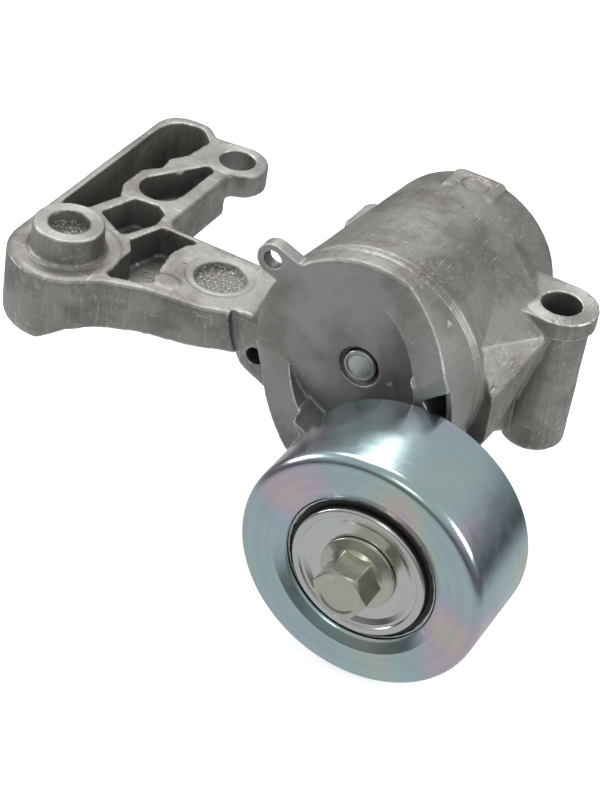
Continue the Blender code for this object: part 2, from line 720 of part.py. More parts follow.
def hollow_drum(casting):
    """Cuts the spring's room, the bush seat, the shaft's hole and the rear recess."""
    room = turned(
        "spring_room",
        [
            (0, MOUTH_Y - 1 * MM),
            (MOUTH_BORE, MOUTH_Y - 1 * MM),
            (MOUTH_BORE, MOUTH_Y + SKIRT_DEPTH + 2 * MM),
            (REAR_BORE, CAVITY_REAR),
            (HUB_RADIUS, CAVITY_REAR),
            (HUB_RADIUS, HUB_FRONT),
            (0, HUB_FRONT),
        ],
        FINE,
    )
    bore = turned(
        "shaft_bore",
        [
            (0, MOUTH_Y),
            (HUB_BORE, MOUTH_Y),
            (HUB_BORE, BORE_END),
            (SHAFT_REAR_RADIUS + RUN, BORE_END),
            (SHAFT_REAR_RADIUS + RUN, DRUM_REAR_Y - REAR_RECESS_DEPTH),
            (REAR_RECESS_RADIUS, DRUM_REAR_Y - REAR_RECESS_DEPTH),
            (REAR_RECESS_RADIUS, DRUM_REAR_Y + 1 * MM),
            (0, DRUM_REAR_Y + 1 * MM),
        ],
        MEDIUM,
    )
    for tool in (room, bore):
        tool.location = (PIVOT_X, 0, PIVOT_Z)
        cut(casting, tool)


def drill_column(casting):
    hole = circle((0, 0), BOLT_HOLE_RADIUS, COARSE)
    cut(casting, prism("bolt_hole", hole, -1 * MM, EAR_TOP + 1 * MM, "Z"))
    side = 80 * MM
    foot_edge = PIVOT_X - DRUM_RADIUS
    for name, left, right, level in (
        ("seat_plane", foot_edge, -BRACKET_LEFT, 0),
        ("foot_plane", 2 * BRACKET_LEFT, foot_edge, FOOT_HEIGHT),
    ):
        below = [(left, -side), (right, -side), (right, side), (left, side)]
        cut(casting, prism(name, below, -20 * MM, level, "Z"))


def make_housing(finish):
    casting = make_bracket(finish)
    add_left_boss(casting)
    add_middle_boss(casting)
    add_small_pads(casting)
    add_rear_ear(casting)
    add_drum(casting)
    add_pad(casting)
    add_rear_lug(casting)
    add_column(casting)
    add_lock_lug(casting)
    hollow_drum(casting)
    drill_column(casting)
    return casting


def make_arm(finish, pivot):
    """The arm: a disc with two raised rails, a beam to the pulley and a spigot for the bearing."""
    disc = [
        (0, ARM_FLOOR),
        (ARM_RADIUS - 0.8 * MM, ARM_FLOOR),
        (ARM_RADIUS, ARM_FLOOR + 0.8 * MM),
        (ARM_RADIUS, ARM_REAR_FACE),
        (SKIRT_OUTER, ARM_REAR_FACE),
        (SKIRT_OUTER, ARM_REAR_FACE + SKIRT_DEPTH),
        (SKIRT_OUTER - SKIRT_WALL, ARM_REAR_FACE + SKIRT_DEPTH),
        (SKIRT_OUTER - SKIRT_WALL, ARM_REAR_FACE),
        (0, ARM_REAR_FACE),
    ]
    arm = turned("tensioner_arm", disc, FINE, finish, pivot)
    middle = ARM_FLOOR + ARM_DISC / 2
    right = rail_outline(RAIL_RIGHT_END, RAIL_RIGHT_START, RAIL_RIGHT_SLANT)
    left = rail_outline(RAIL_LEFT_START, RAIL_LEFT_END, 0)
    slope = at_pivot(slope_cutter(), pivot)
    for name, outline in (("right_rail", right), ("left_rail", left)):
        rail = at_pivot(prism(name, outline, RAIL_FRONT, middle, "Y"), pivot)
        cut(rail, slope)
        add(arm, rail)
    add(arm, at_pivot(rim_wall(middle), pivot))
    add_beam(arm, pivot, middle)
    add_eyelet(arm, pivot)
    drill_arm(arm, pivot)
    return arm


def at_pivot(tool, pivot):
    tool.parent = pivot
    return tool


def rail_outline(start, end, slant):
    """A sector of the ring between the rail's inner radius and the disc's edge."""
    outer = arc((0, 0), ARM_RADIUS, start + slant, end, 12)
    inner = arc((0, 0), RAIL_INNER_RADIUS, end, start, 10)
    return outer + inner


def rim_wall(rear):
    """The thin wall that carries the right-hand rail's outer side on past its broken end."""
    start = RAIL_RIGHT_END - math.radians(26)
    end = RAIL_RIGHT_END + RAIL_RIGHT_SLANT + math.radians(4)
    outer = arc((0, 0), ARM_RADIUS, start, end, 8)
    inner = arc((0, 0), ARM_RADIUS - RIM_WALL, end, start, 8)
    return prism("rim_wall", outer + inner, RAIL_FRONT + 1.6 * MM, rear, "Y")


def slope_cutter():
    """Takes off all that stands in front of the rails' slanted plane."""
    size = 60 * MM
    mesh = bmesh.new()
    bmesh.ops.create_cube(mesh, size=2 * size)
    bmesh.ops.translate(mesh, verts=mesh.verts, vec=(0, -size, 0))
    tilt = Matrix.Rotation(-math.atan(RAIL_SLOPE), 4, "Z")
    turn = Matrix.Rotation(-RAIL_SLOPE_ANGLE, 4, "Y")
    start = Matrix.Translation((RAIL_SLOPE_START, ARM_FLOOR, 0))
    bmesh.ops.transform(mesh, matrix=turn @ start @ tilt, verts=mesh.verts)
    return to_object("slope_cutter", mesh)


def add_beam(arm, pivot, rear):
    """The beam between the disc and the pulley's boss, and the spigot inside the pulley."""
    px, pz = polar(ARM_LENGTH, ARM_ANGLE)
    outline = wrapped([(px, pz, PULLEY_BOSS_RADIUS), (px / 4, pz / 4, RAIL_INNER_RADIUS)], MEDIUM)
    beam = prism("beam", outline, RAIL_FRONT, rear + ARM_DISC / 2 - 1 * MM, "Y")
    well = turned(
        "arm_well",
        [
            (0, RAIL_FRONT - 1 * MM),
            (RAIL_INNER_RADIUS, RAIL_FRONT - 1 * MM),
            (RAIL_INNER_RADIUS - 1 * MM, ARM_FLOOR),
            (0, ARM_FLOOR),
        ],
        FINE,
    )
    cut(beam, at_pivot(well, pivot))
    add(arm, at_pivot(beam, pivot))
    spigot = turned(
        "spigot",
        [
            (0, PULLEY_FRONT_Y + BEARING_INSET + 1.5 * MM),
            (BEARING_BORE - FIT - 0.6 * MM, PULLEY_FRONT_Y + BEARING_INSET + 1.5 * MM),
            (BEARING_BORE - FIT, PULLEY_FRONT_Y + BEARING_INSET + 2.1 * MM),
            (BEARING_BORE - FIT, BEARING_REAR + COVER_SHEET + 2 * FIT),
            (SPIGOT_RADIUS, BEARING_REAR + COVER_SHEET + 2 * FIT),
            (SPIGOT_RADIUS + 1 * MM, RAIL_FRONT + 1 * MM),
            (0, RAIL_FRONT + 1 * MM),
        ],
        MEDIUM,
    )
    spigot.parent = pivot
    spigot.location = (px, 0, pz)
    add(arm, spigot)
    hole = circle((px, pz), BOLT_RADIUS + FIT, COARSE)
    thread = prism("bolt_thread", hole, PULLEY_FRONT_Y, ARM_REAR_FACE + 5 * MM, "Y")
    cut(arm, at_pivot(thread, pivot))


def add_eyelet(arm, pivot):
    """The thin eyelet on the disc's edge that the service pin goes through."""
    x, z = polar(LOCK_RADIUS, LOCK_ARM_ANGLE)
    root_x, root_z = polar(ARM_RADIUS - 5 * MM, LOCK_ARM_ANGLE - math.radians(6))
    outline = wrapped([(x, z, EYELET_RADIUS), (root_x, root_z, 4.6 * MM)], COARSE)
    eyelet = prism("eyelet", outline, ARM_FLOOR, ARM_FLOOR + EYELET_THICKNESS, "Y")
    add(arm, at_pivot(eyelet, pivot))
    hole = circle((x, z), LOCK_HOLE_RADIUS, COARSE)
    through = prism("eyelet_hole", hole, ARM_FLOOR - 1 * MM, ARM_REAR_FACE + 1 * MM, "Y")
    cut(arm, at_pivot(through, pivot))


def drill_arm(arm, pivot):
    """The counterbore and the hole for the shaft's front end."""
    hole = turned(
        "shaft_hole",
        [
            (0, ARM_FLOOR - 1 * MM),
            (COUNTERBORE_RADIUS, ARM_FLOOR - 1 * MM),
            (COUNTERBORE_RADIUS - 0.4 * MM, ARM_FLOOR + COUNTERBORE_DEPTH),
            (SHAFT_FRONT_RADIUS + FIT, ARM_FLOOR + COUNTERBORE_DEPTH),
            (SHAFT_FRONT_RADIUS + FIT, ARM_REAR_FACE + 1 * MM),
            (0, ARM_REAR_FACE + 1 * MM),
        ],
        COARSE,
    )
    cut(arm, at_pivot(hole, pivot))


def ring_profile(inner, outer, low, high, chamfer=0.0):
    """A rectangular section, with its outer corners chamfered."""
    return [
        (inner, low),
        (outer - chamfer, low),
        (outer, low + chamfer),
        (outer, high - chamfer),
        (outer - chamfer, high),
        (inner, high),
    ] if chamfer else [(inner, low), (outer, low), (outer, high), (inner, high)]


def make_shaft_group(steel, bronze, zinc, pivot):
    """The pivot shaft, its two bushes, its washers and its retaining ring."""
    shoulder = ARM_REAR_FACE + FIT
    shaft_end = BORE_END - FIT
    tail = DRUM_REAR_Y - 0.6 * MM
    groove = DRUM_REAR_Y - REAR_RECESS_DEPTH + FIT + WASHER_THICKNESS + FIT
    turned(
        "pivot_shaft",
        [
            (0, ARM_FLOOR + 0.5 * MM),
            (SHAFT_FACE_RADIUS, ARM_FLOOR + 0.5 * MM),
            (SHAFT_FACE_RADIUS + 0.3 * MM, ARM_FLOOR + 0.1 * MM),
            (SHAFT_FRONT_RADIUS - 0.2 * MM, ARM_FLOOR + 0.1 * MM),
            (SHAFT_FRONT_RADIUS, ARM_FLOOR + 0.4 * MM),
            (SHAFT_FRONT_RADIUS, shoulder),
            (SHAFT_RADIUS, shoulder),
            (SHAFT_RADIUS, shaft_end),
            (SHAFT_REAR_RADIUS, shaft_end),
            (SHAFT_REAR_RADIUS, groove),
            (SHAFT_REAR_RADIUS - 0.8 * MM, groove),
            (SHAFT_REAR_RADIUS - 0.8 * MM, groove + RING_THICKNESS),
            (SHAFT_REAR_RADIUS, groove + RING_THICKNESS),
            (SHAFT_REAR_RADIUS, tail),
            (0, tail),
        ],
        MEDIUM,
        steel,
        pivot,
    )
    front_start = HUB_FRONT + FIT
    rear_start = BORE_END - FIT - BUSH_LENGTH
    for name, start in (("front_bush", front_start), ("rear_bush", rear_start)):
        profile = ring_profile(SHAFT_RADIUS + RUN, BUSH_OUTER, start, start + BUSH_LENGTH)
        turned(name, profile, MEDIUM, bronze, pivot)
    washer = ring_profile(
        SHAFT_RADIUS + RUN, HUB_RADIUS - 0.5 * MM, shoulder, shoulder + WASHER_THICKNESS
    )
    turned("front_thrust_washer", washer, MEDIUM, bronze, pivot)
    start = DRUM_REAR_Y - REAR_RECESS_DEPTH + FIT
    washer = ring_profile(
        SHAFT_REAR_RADIUS + FIT, REAR_RECESS_RADIUS - 1 * MM, start, start + WASHER_THICKNESS
    )
    turned("rear_washer", washer, MEDIUM, zinc, pivot)
    make_retaining_ring(groove, steel, pivot)


def make_retaining_ring(groove, finish, pivot):
    """An open ring in the shaft's groove, with its gap at the bottom."""
    gap = math.radians(28)
    inner = SHAFT_REAR_RADIUS - 0.8 * MM + FIT
    outer = SHAFT_REAR_RADIUS + 2 * MM
    start = gap / 2 - math.pi / 2
    end = start + 2 * math.pi - gap
    outline = arc((0, 0), outer, start, end, 30) + arc((0, 0), inner, end, start, 30)
    low = groove + 0.15 * MM
    high = groove + RING_THICKNESS - 0.15 * MM
    prism("retaining_ring", outline, low, high, "Y", finish, pivot)


def make_spring(finish, pivot):
    """The torsion spring: a coil of round wire with ground-flat ends."""
    start_y = CAVITY_REAR - FIT - SPRING_WIRE / 2
    end_y = ARM_REAR_FACE + FIT + SPRING_WIRE / 2
    pitch = (start_y - end_y) / (SPRING_TURNS - 1)
    total = round(SPRING_TURNS * SPRING_STEPS)
    mesh = bmesh.new()
    rings = []
    for i in range(total + 1):
        angle = 2 * math.pi * i / SPRING_STEPS
        climbed = min(max(0, i / SPRING_STEPS - 0.5), SPRING_TURNS - 1)
        y = start_y - pitch * climbed
        ring = []
        for side in range(SPRING_SIDES):
            around = 2 * math.pi * side / SPRING_SIDES
            radius = SPRING_RADIUS + SPRING_WIRE / 2 * math.cos(around)
            height = y + SPRING_WIRE / 2 * math.sin(around)
            x, z = polar(radius, angle)
            ring.append(mesh.verts.new((x, height, z)))
        rings.append(ring)
    for ring, following in zip(rings, rings[1:]):
        for side in range(SPRING_SIDES):
            after = (side + 1) % SPRING_SIDES
            mesh.faces.new((ring[side], ring[after], following[after], following[side]))
    mesh.faces.new(rings[0])
    mesh.faces.new(rings[-1])
    return to_object("torsion_spring", mesh, finish, pivot)


def make_drum_linings(nylon, rubber, pivot):
    """The spring guide on the hub, the friction sleeve round the arm's skirt and the dust ring."""
    inner = HUB_RADIUS + FIT
    guide = ring_profile(inner, GUIDE_OUTER, HUB_FRONT + 1 * MM, CAVITY_REAR - FIT)
    turned("spring_guide", guide, MEDIUM, nylon, pivot)
    outer = MOUTH_BORE - FIT
    sleeve_rear = MOUTH_Y + SKIRT_DEPTH + 1.4 * MM
    sleeve_front = MOUTH_Y + 1.6 * MM
    sleeve = ring_profile(outer - SLEEVE_WALL, outer, sleeve_front, sleeve_rear)
    turned("friction_sleeve", sleeve, FINE, nylon, pivot)
    lip = ring_profile(
        SKIRT_OUTER + RUN, outer, MOUTH_Y - FACE_GAP + FIT, sleeve_front - FIT
    )
    turned("dust_ring", lip, FINE, rubber, pivot)


def make_pulley_shell(finish, axis):
    """A pressed shell: flat face, rolled-in bearing seat and a plain flat rim, open at the rear."""
    front = PULLEY_FRONT_Y
    rear = front + PULLEY_WIDTH
    radius = PULLEY_RADIUS
    wall = PULLEY_WALL
    bend = PULLEY_EDGE_ROUND
    seat = BEARING_OUTER + FIT
    seat_outer = seat + wall * 0.8
    outer_bend = arc((radius - bend, front + bend), bend, 0, math.radians(-90), 4)
    lip = arc((PULLEY_FACE_INNER, front + 2 * MM), 2 * MM, math.radians(-90), math.radians(-165), 3)
    inside_bend = arc(
        (radius - wall - 2.4 * MM, front + wall + 2.4 * MM), 2.4 * MM, math.radians(-90), 0, 2
    )
    profile = [(radius - 0.5 * MM, rear), (radius, rear - 0.5 * MM)]
    profile += outer_bend
    profile += lip
    profile += [(seat, BEARING_FRONT + 0.8 * MM), (seat, BEARING_REAR + 0.8 * MM)]
    profile += [(seat + 0.6 * MM, BEARING_REAR + 1.4 * MM), (seat_outer, BEARING_REAR + 0.8 * MM)]
    profile += [(seat_outer, front + wall + 1 * MM), (seat_outer + 1 * MM, front + wall)]
    profile += inside_bend
    profile += [(radius - wall, rear)]
    return turned("pulley_shell", profile, FINE, finish, axis)


def groove_arc(side, steps=4):
    """The raceway's section: an arc a running gap larger than the ball, for one of the rings."""
    radius = BALL_RADIUS + RUN
    shoulder = OUTER_SHOULDER if side > 0 else INNER_SHOULDER
    half = math.acos(abs(shoulder - BALL_PITCH) / radius)
    middle = 0 if side > 0 else math.pi
    return [
        (
            BALL_PITCH + radius * math.cos(middle + turn),
            BEARING_MIDDLE + radius * math.sin(middle + turn),
        )
        for turn in [half * (2 * i / steps - 1) for i in range(steps + 1)]
    ]


def make_bearing(steel, cage_finish, rubber, axis):
    """The rings, the balls, the cage and the two seals."""
    front = BEARING_FRONT
    rear = BEARING_REAR
    outer = [(BEARING_OUTER - 0.6 * MM, front), (BEARING_OUTER, front + 0.6 * MM)]
    outer += [(BEARING_OUTER, rear - 0.6 * MM), (BEARING_OUTER - 0.6 * MM, rear)]
    outer += [(SEAL_RADIUS, rear), (SEAL_RADIUS, rear - SEAL_DEPTH)]
    outer += [(OUTER_SHOULDER, rear - SEAL_DEPTH)]
    outer += groove_arc(1)[::-1]
    outer += [(OUTER_SHOULDER, front + SEAL_DEPTH), (SEAL_RADIUS, front + SEAL_DEPTH)]
    outer += [(SEAL_RADIUS, front)]
    turned("bearing_outer_ring", outer, MEDIUM, steel, axis)
    inner = [(BEARING_BORE + 0.5 * MM, front), (INNER_SHOULDER, front)]
    inner += groove_arc(-1)[::-1]
    inner += [(INNER_SHOULDER, rear), (BEARING_BORE + 0.5 * MM, rear)]
    inner += [(BEARING_BORE, rear - 0.5 * MM), (BEARING_BORE, front + 0.5 * MM)]
    turned("bearing_inner_ring", inner, MEDIUM, steel, axis)
    make_balls_and_cage(steel, cage_finish, axis)
    seal_outer = SEAL_RADIUS - FIT
    seal_inner = INNER_SHOULDER + RUN
    for name, low in (
        ("front_seal", front + 0.2 * MM),
        ("rear_seal", rear - 0.2 * MM - SEAL_THICKNESS),
    ):
        profile = ring_profile(seal_inner, seal_outer, low, low + SEAL_THICKNESS)
        turned(name, profile, MEDIUM, rubber, axis)


def make_balls_and_cage(steel, cage_finish, axis):
    half = CAGE_WIDTH / 2
    cage_profile = ring_profile(
        BALL_PITCH - CAGE_WALL / 2,
        BALL_PITCH + CAGE_WALL / 2,
        BEARING_MIDDLE - half,
        BEARING_MIDDLE + half,
    )
    cage = turned("ball_cage", cage_profile, MEDIUM, cage_finish, axis)
    for index in range(BALL_COUNT):
        x, z = polar(BALL_PITCH, 2 * math.pi * (index + 0.5) / BALL_COUNT)
        place = Matrix.Translation((x, BEARING_MIDDLE, z))
        ball = bmesh.new()
        bmesh.ops.create_icosphere(ball, subdivisions=2, radius=BALL_RADIUS, matrix=place)
        to_object(f"ball_{index + 1}", ball, steel, axis)
        pocket = bmesh.new()
        room = BALL_RADIUS + CAGE_PLAY
        bmesh.ops.create_icosphere(pocket, subdivisions=2, radius=room, matrix=place)
        cut(cage, to_object(f"cage_pocket_{index + 1}", pocket, None, axis))


def make_covers(silver, axis):
    """The pressed dust covers on both sides of the bearing."""
    seat = BEARING_FRONT - FIT
    sheet = COVER_SHEET
    hole = BOLT_RADIUS + FIT
    rim_front = seat - COVER_LIP
    front = [
        (hole, seat - sheet),
        (COVER_FLOOR_RADIUS - 2.0 * MM, seat - sheet),
        (COVER_FLOOR_RADIUS - 1.2 * MM, seat - sheet - 0.2 * MM),
        (COVER_FLOOR_RADIUS + 0.6 * MM, rim_front),
        (COVER_RADIUS - 0.8 * MM, rim_front - 0.2 * MM),
        (COVER_RADIUS, rim_front + 0.5 * MM),
        (COVER_RADIUS, seat - 0.3 * MM),
        (COVER_RADIUS - sheet, seat - 0.3 * MM),
        (COVER_RADIUS - sheet, rim_front + sheet),
        (COVER_FLOOR_RADIUS + 1.2 * MM, rim_front + sheet),
        (COVER_FLOOR_RADIUS - 0.4 * MM, seat),
        (hole, seat),
    ]
    turned("front_dust_cover", front, MEDIUM, silver, axis)
    seat = BEARING_REAR + FIT
    hole = BEARING_BORE
    rim_rear = seat + COVER_LIP
    rear = [
        (hole, seat),
        (COVER_FLOOR_RADIUS - 0.4 * MM, seat),
        (COVER_FLOOR_RADIUS + 1.2 * MM, rim_rear - sheet),
        (COVER_RADIUS - sheet, rim_rear - sheet),
        (COVER_RADIUS - sheet, seat + 0.3 * MM),
        (COVER_RADIUS, seat + 0.3 * MM),
        (COVER_RADIUS, rim_rear - 0.5 * MM),
        (COVER_RADIUS - 0.8 * MM, rim_rear + 0.2 * MM),
        (COVER_FLOOR_RADIUS + 0.6 * MM, rim_rear),
        (COVER_FLOOR_RADIUS - 1.2 * MM, seat + sheet),
        (hole, seat + sheet),
    ]
    turned("rear_dust_cover", rear, MEDIUM, silver, axis)


def make_bolt(finish, axis):
    """The flanged hex bolt that clamps the bearing to the arm's spigot."""
    seat = BEARING_FRONT - FIT - COVER_SHEET - FIT
    flange = seat - BOLT_FLANGE_HEIGHT
    corner = BOLT_HEAD_FLATS / math.sqrt(3)
    bolt = turned(
        "pulley_bolt",
        [
            (0, flange - 1 * MM),
            (BOLT_HEAD_FLATS / 2 - 1 * MM, flange - 1 * MM),
            (BOLT_HEAD_FLATS / 2 + 0.4 * MM, flange),
            (BOLT_FLANGE_RADIUS - 0.4 * MM, seat - 1.1 * MM),
            (BOLT_FLANGE_RADIUS, seat - 0.7 * MM),
            (BOLT_FLANGE_RADIUS, seat),
            (BOLT_RADIUS, seat),
            (BOLT_RADIUS, seat + BOLT_LENGTH - 1 * MM),
            (BOLT_RADIUS - 1 * MM, seat + BOLT_LENGTH),
            (0, seat + BOLT_LENGTH),
        ],
        MEDIUM,
        finish,
        axis,
    )
    outline = [polar(corner, math.radians(60 * i + 2)) for i in range(6)]
    top = flange - BOLT_HEAD_HEIGHT
    head = prism("bolt_head", outline, top, seat - 0.5 * MM, "Y")
    head.parent = axis
    crown = turned(
        "head_crown",
        [
            (0, top - 1 * MM),
            (BOLT_HEAD_FLATS / 2 - 0.3 * MM, top - 1 * MM),
            (BOLT_HEAD_FLATS / 2 - 0.3 * MM, top),
            (corner + 0.2 * MM, top + BOLT_HEAD_CHAMFER),
            (corner + 0.2 * MM, seat),
            (0, seat),
        ],
        COARSE,
    )
    crown.parent = axis
    combine(head, crown, "INTERSECT")
    add(bolt, head)
    dish = turned(
        "head_dish",
        [
            (0, top - 1 * MM),
            (BOLT_HEAD_FLATS / 2 - 1.6 * MM, top - 1 * MM),
            (BOLT_HEAD_FLATS / 2 - 2.2 * MM, top + 0.4 * MM),
            (0, top + 0.4 * MM),
        ],
        COARSE,
    )
    dish.parent = axis
    cut(bolt, dish)


def main():
    clear_scene()
    cast = material("cast_aluminium", (0.52, 0.51, 0.49), 0.5, 0.85)
    arm_cast = material("arm_aluminium", (0.50, 0.51, 0.49), 0.45, 0.85)
    steel = material("bearing_steel", (0.60, 0.60, 0.60), 0.25, 1.0)
    shaft_steel = material("shaft_steel", (0.62, 0.64, 0.60), 0.35, 1.0)
    spring_steel = material("spring_steel", (0.16, 0.16, 0.17), 0.45, 0.9)
    bronze = material("bush_bronze", (0.50, 0.36, 0.20), 0.45, 0.8)
    zinc = material("yellow_zinc", (0.62, 0.58, 0.44), 0.35, 0.95)
    rim = material("plated_steel", (0.62, 0.63, 0.64), 0.28, 1.0)
    silver = material("cover_steel", (0.66, 0.66, 0.65), 0.3, 1.0)
    nylon = material("nylon", (0.10, 0.10, 0.11), 0.6, 0.0)
    rubber = material("seal_rubber", (0.03, 0.03, 0.03), 0.7, 0.0)

    pivot = axis_empty("pivot_axis", PIVOT_X, PIVOT_Z)
    axis = axis_empty("pulley_axis", PULLEY_X, PULLEY_Z)
    make_housing(cast)
    make_arm(arm_cast, pivot)
    make_shaft_group(shaft_steel, bronze, zinc, pivot)
    make_spring(spring_steel, pivot)
    make_drum_linings(nylon, rubber, pivot)
    make_pulley_shell(rim, axis)
    make_bearing(steel, silver, rubber, axis)
    make_covers(silver, axis)
    make_bolt(zinc, axis)


main()
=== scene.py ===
"""Belt tensioner idler: the finished castings, turned pieces, plating and light.

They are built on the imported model. Its frame has +Z up along the mounting bolts, +Y from the
pulley's front face to the rear, and +X right.
"""

import json
import math

import bpy
from mathutils import Matrix, Vector


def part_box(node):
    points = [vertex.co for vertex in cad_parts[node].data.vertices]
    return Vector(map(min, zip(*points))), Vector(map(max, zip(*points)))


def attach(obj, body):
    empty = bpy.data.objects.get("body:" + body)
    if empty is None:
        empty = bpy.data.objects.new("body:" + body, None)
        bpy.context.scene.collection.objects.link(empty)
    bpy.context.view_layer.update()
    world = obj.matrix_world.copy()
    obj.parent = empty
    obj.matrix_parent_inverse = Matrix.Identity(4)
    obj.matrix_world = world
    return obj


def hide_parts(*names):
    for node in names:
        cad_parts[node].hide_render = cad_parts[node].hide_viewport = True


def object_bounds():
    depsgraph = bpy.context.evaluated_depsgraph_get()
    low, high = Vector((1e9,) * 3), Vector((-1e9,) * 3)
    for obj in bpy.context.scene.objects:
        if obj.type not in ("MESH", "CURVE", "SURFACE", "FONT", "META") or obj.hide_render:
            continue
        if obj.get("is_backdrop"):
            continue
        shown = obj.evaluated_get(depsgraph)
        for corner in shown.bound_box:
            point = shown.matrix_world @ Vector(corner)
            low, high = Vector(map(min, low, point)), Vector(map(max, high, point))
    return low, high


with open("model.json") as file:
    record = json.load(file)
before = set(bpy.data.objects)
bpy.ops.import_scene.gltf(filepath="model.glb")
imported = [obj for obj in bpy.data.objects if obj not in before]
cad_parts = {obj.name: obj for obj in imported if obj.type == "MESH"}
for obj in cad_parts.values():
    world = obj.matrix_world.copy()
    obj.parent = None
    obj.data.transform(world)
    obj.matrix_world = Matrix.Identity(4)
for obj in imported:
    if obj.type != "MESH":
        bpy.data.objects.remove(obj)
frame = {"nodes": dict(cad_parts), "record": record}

bl_info = {
    "name": "Belt Tensioner Idler",
    "version": (1, 0, 0),
    "blender": (4, 5, 0),
    "location": "View3D > Sidebar > Tensioner",
    "description": "Builds a belt tensioner's castings, plated pulley, bearing and light",
    "category": "Object",
}

WELD = 0.00001
NODE_WELD = 0.000002
SEAL_INNER = 0.01285
COVER_HOLES = {"front_dust_cover": 0.00515, "rear_dust_cover": 0.0085}
BOLT_SHANK = 0.00485
FLANGE_DEPTH = 0.002
SHAFT_NECK = 0.00485
SHAFT_TAIL = 0.006
WAIST_TO_WASHER = 0.0049
COLUMN_RING = 0.0107
EAR_RING = 0.0098
EAR_OFFSET = Vector((0, 0.0072, 0))
# The mount on each boss, how far it is from the axis, the ring's radii, the core's depth and radius
BOSSES = (
    ("left_boss_top", 0.0082, (0.0066, 0.0101), 0.005, 0.0064),
    ("middle_boss_top", 0.0091, (0.0081, 0.0103), 0.003, 0.0079),
)
HOUSING_TRIANGLES = 195000
ARM_TRIANGLES = 170000
SKIN_ROUNDS = 3
SPARKLE_REACH = 0.0022
# Each light's place from the middle of the tensioner, its side in metres, and its power
LIGHTS = (
    ("top_softbox", (-0.30, 0.30, 0.75), 0.60, 3.6),
    ("left_softbox", (-0.80, -0.20, 0.25), 0.35, 1.6),
    ("right_softbox", (0.70, 0.10, 0.30), 0.35, 1.6),
    ("front_fill", (0.10, -0.85, 0.55), 0.25, 0.5),
)
CAMERA_LENS = 103.5
CAMERA_SENSOR = 36.0
CAMERA_PLACE = (0.14713, -0.51887, 0.39995)
CAMERA_AXES = (
    (0.86813, 0.47799, 0.13370),
    (-0.38560, 0.47990, 0.78804),
    (0.31252, -0.73567, 0.60093),
)
PULLEY_LOW, PULLEY_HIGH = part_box("pulley_shell")
PULLEY_AXIS = (PULLEY_LOW + PULLEY_HIGH) / 2
SHAFT_LOW, SHAFT_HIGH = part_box("pivot_shaft")
PIVOT_AXIS = (SHAFT_LOW + SHAFT_HIGH) / 2
MOUNTS = {mount["name"]: Vector(mount["pos_m"]) for mount in frame["record"]["mounts"]}


def length(label, text, default):
    """A size in metres that shows in the sidebar."""
    return bpy.props.FloatProperty(
        name=label, description=text, default=default, min=0, precision=5, unit="LENGTH"
    )


def colour(label, text, default):
    """A colour that shows in the sidebar."""
    return bpy.props.FloatVectorProperty(
        name=label, description=text, default=default, min=0, max=1, size=3, subtype="COLOR"
    )


class TensionerSizes(bpy.types.PropertyGroup):
    """Sizes of the fine surface that the plain solids don't have."""

    cast_voxel: length("Cast Voxel", "Size of the cells of the rebuilt castings", 0.00048)
    skin_depth: length("Skin Depth", "How far the castings' skin is uneven", 0.00022)
    shell_wall: length("Shell Wall", "Thickness of the pulley's pressed steel", 0.0032)
    shell_bend: length("Shell Bend", "Outer radius of the pulley's front edge", 0.0028)
    face_inner: length("Face Inner", "Radius where the pulley's flat face ends", 0.0256)
    lip_inner: length("Lip Inner", "Radius of the hole that the pulley's rolled lip leaves", 0.0218)
    cover_sheet: length("Cover Sheet", "Thickness of the dust covers", 0.0009)
    cover_floor: length("Cover Floor", "Radius of the dust cover's flat floor", 0.0150)
    hex_flats: length("Hex Flats", "Width across the flats of the bolt's head", 0.0140)
    hex_height: length("Hex Height", "Height of the bolt's head above its flange", 0.0095)
    flange_radius: length("Flange Radius", "Radius of the bolt's flange", 0.0109)


class TensionerColours(bpy.types.PropertyGroup):
    """Colours of the metals and of the rubber."""

    casting: colour("Casting", "Bare skin of the bracket's casting", (0.40, 0.388, 0.365))
    casting_dark: colour("Casting Dark", "Stained patches of the casting", (0.20, 0.183, 0.166))
    arm: colour("Arm", "Skin of the arm's casting", (0.42, 0.43, 0.405))
    arm_dark: colour("Arm Dark", "Stained patches of the arm", (0.245, 0.215, 0.20))
    # Bright also paints the highlights along outer edges, mixed in with their wear.
    bright: colour("Bright", "Worn edges and machined faces", (0.94, 0.93, 0.91))
    zinc: colour("Zinc", "Zinc plate of the pulley", (0.60, 0.64, 0.665))
    yellow_zinc: colour("Yellow Zinc", "Passivated zinc of the bolt", (0.66, 0.64, 0.52))
    cover: colour("Cover", "Bright steel of the dust covers", (0.78, 0.76, 0.74))
    rubber: colour("Rubber", "Black rubber of the seals", (0.018, 0.018, 0.018))
    floor: colour("Floor", "Pale floor under the tensioner", (0.93, 0.93, 0.93))


# Shader node groups and materials


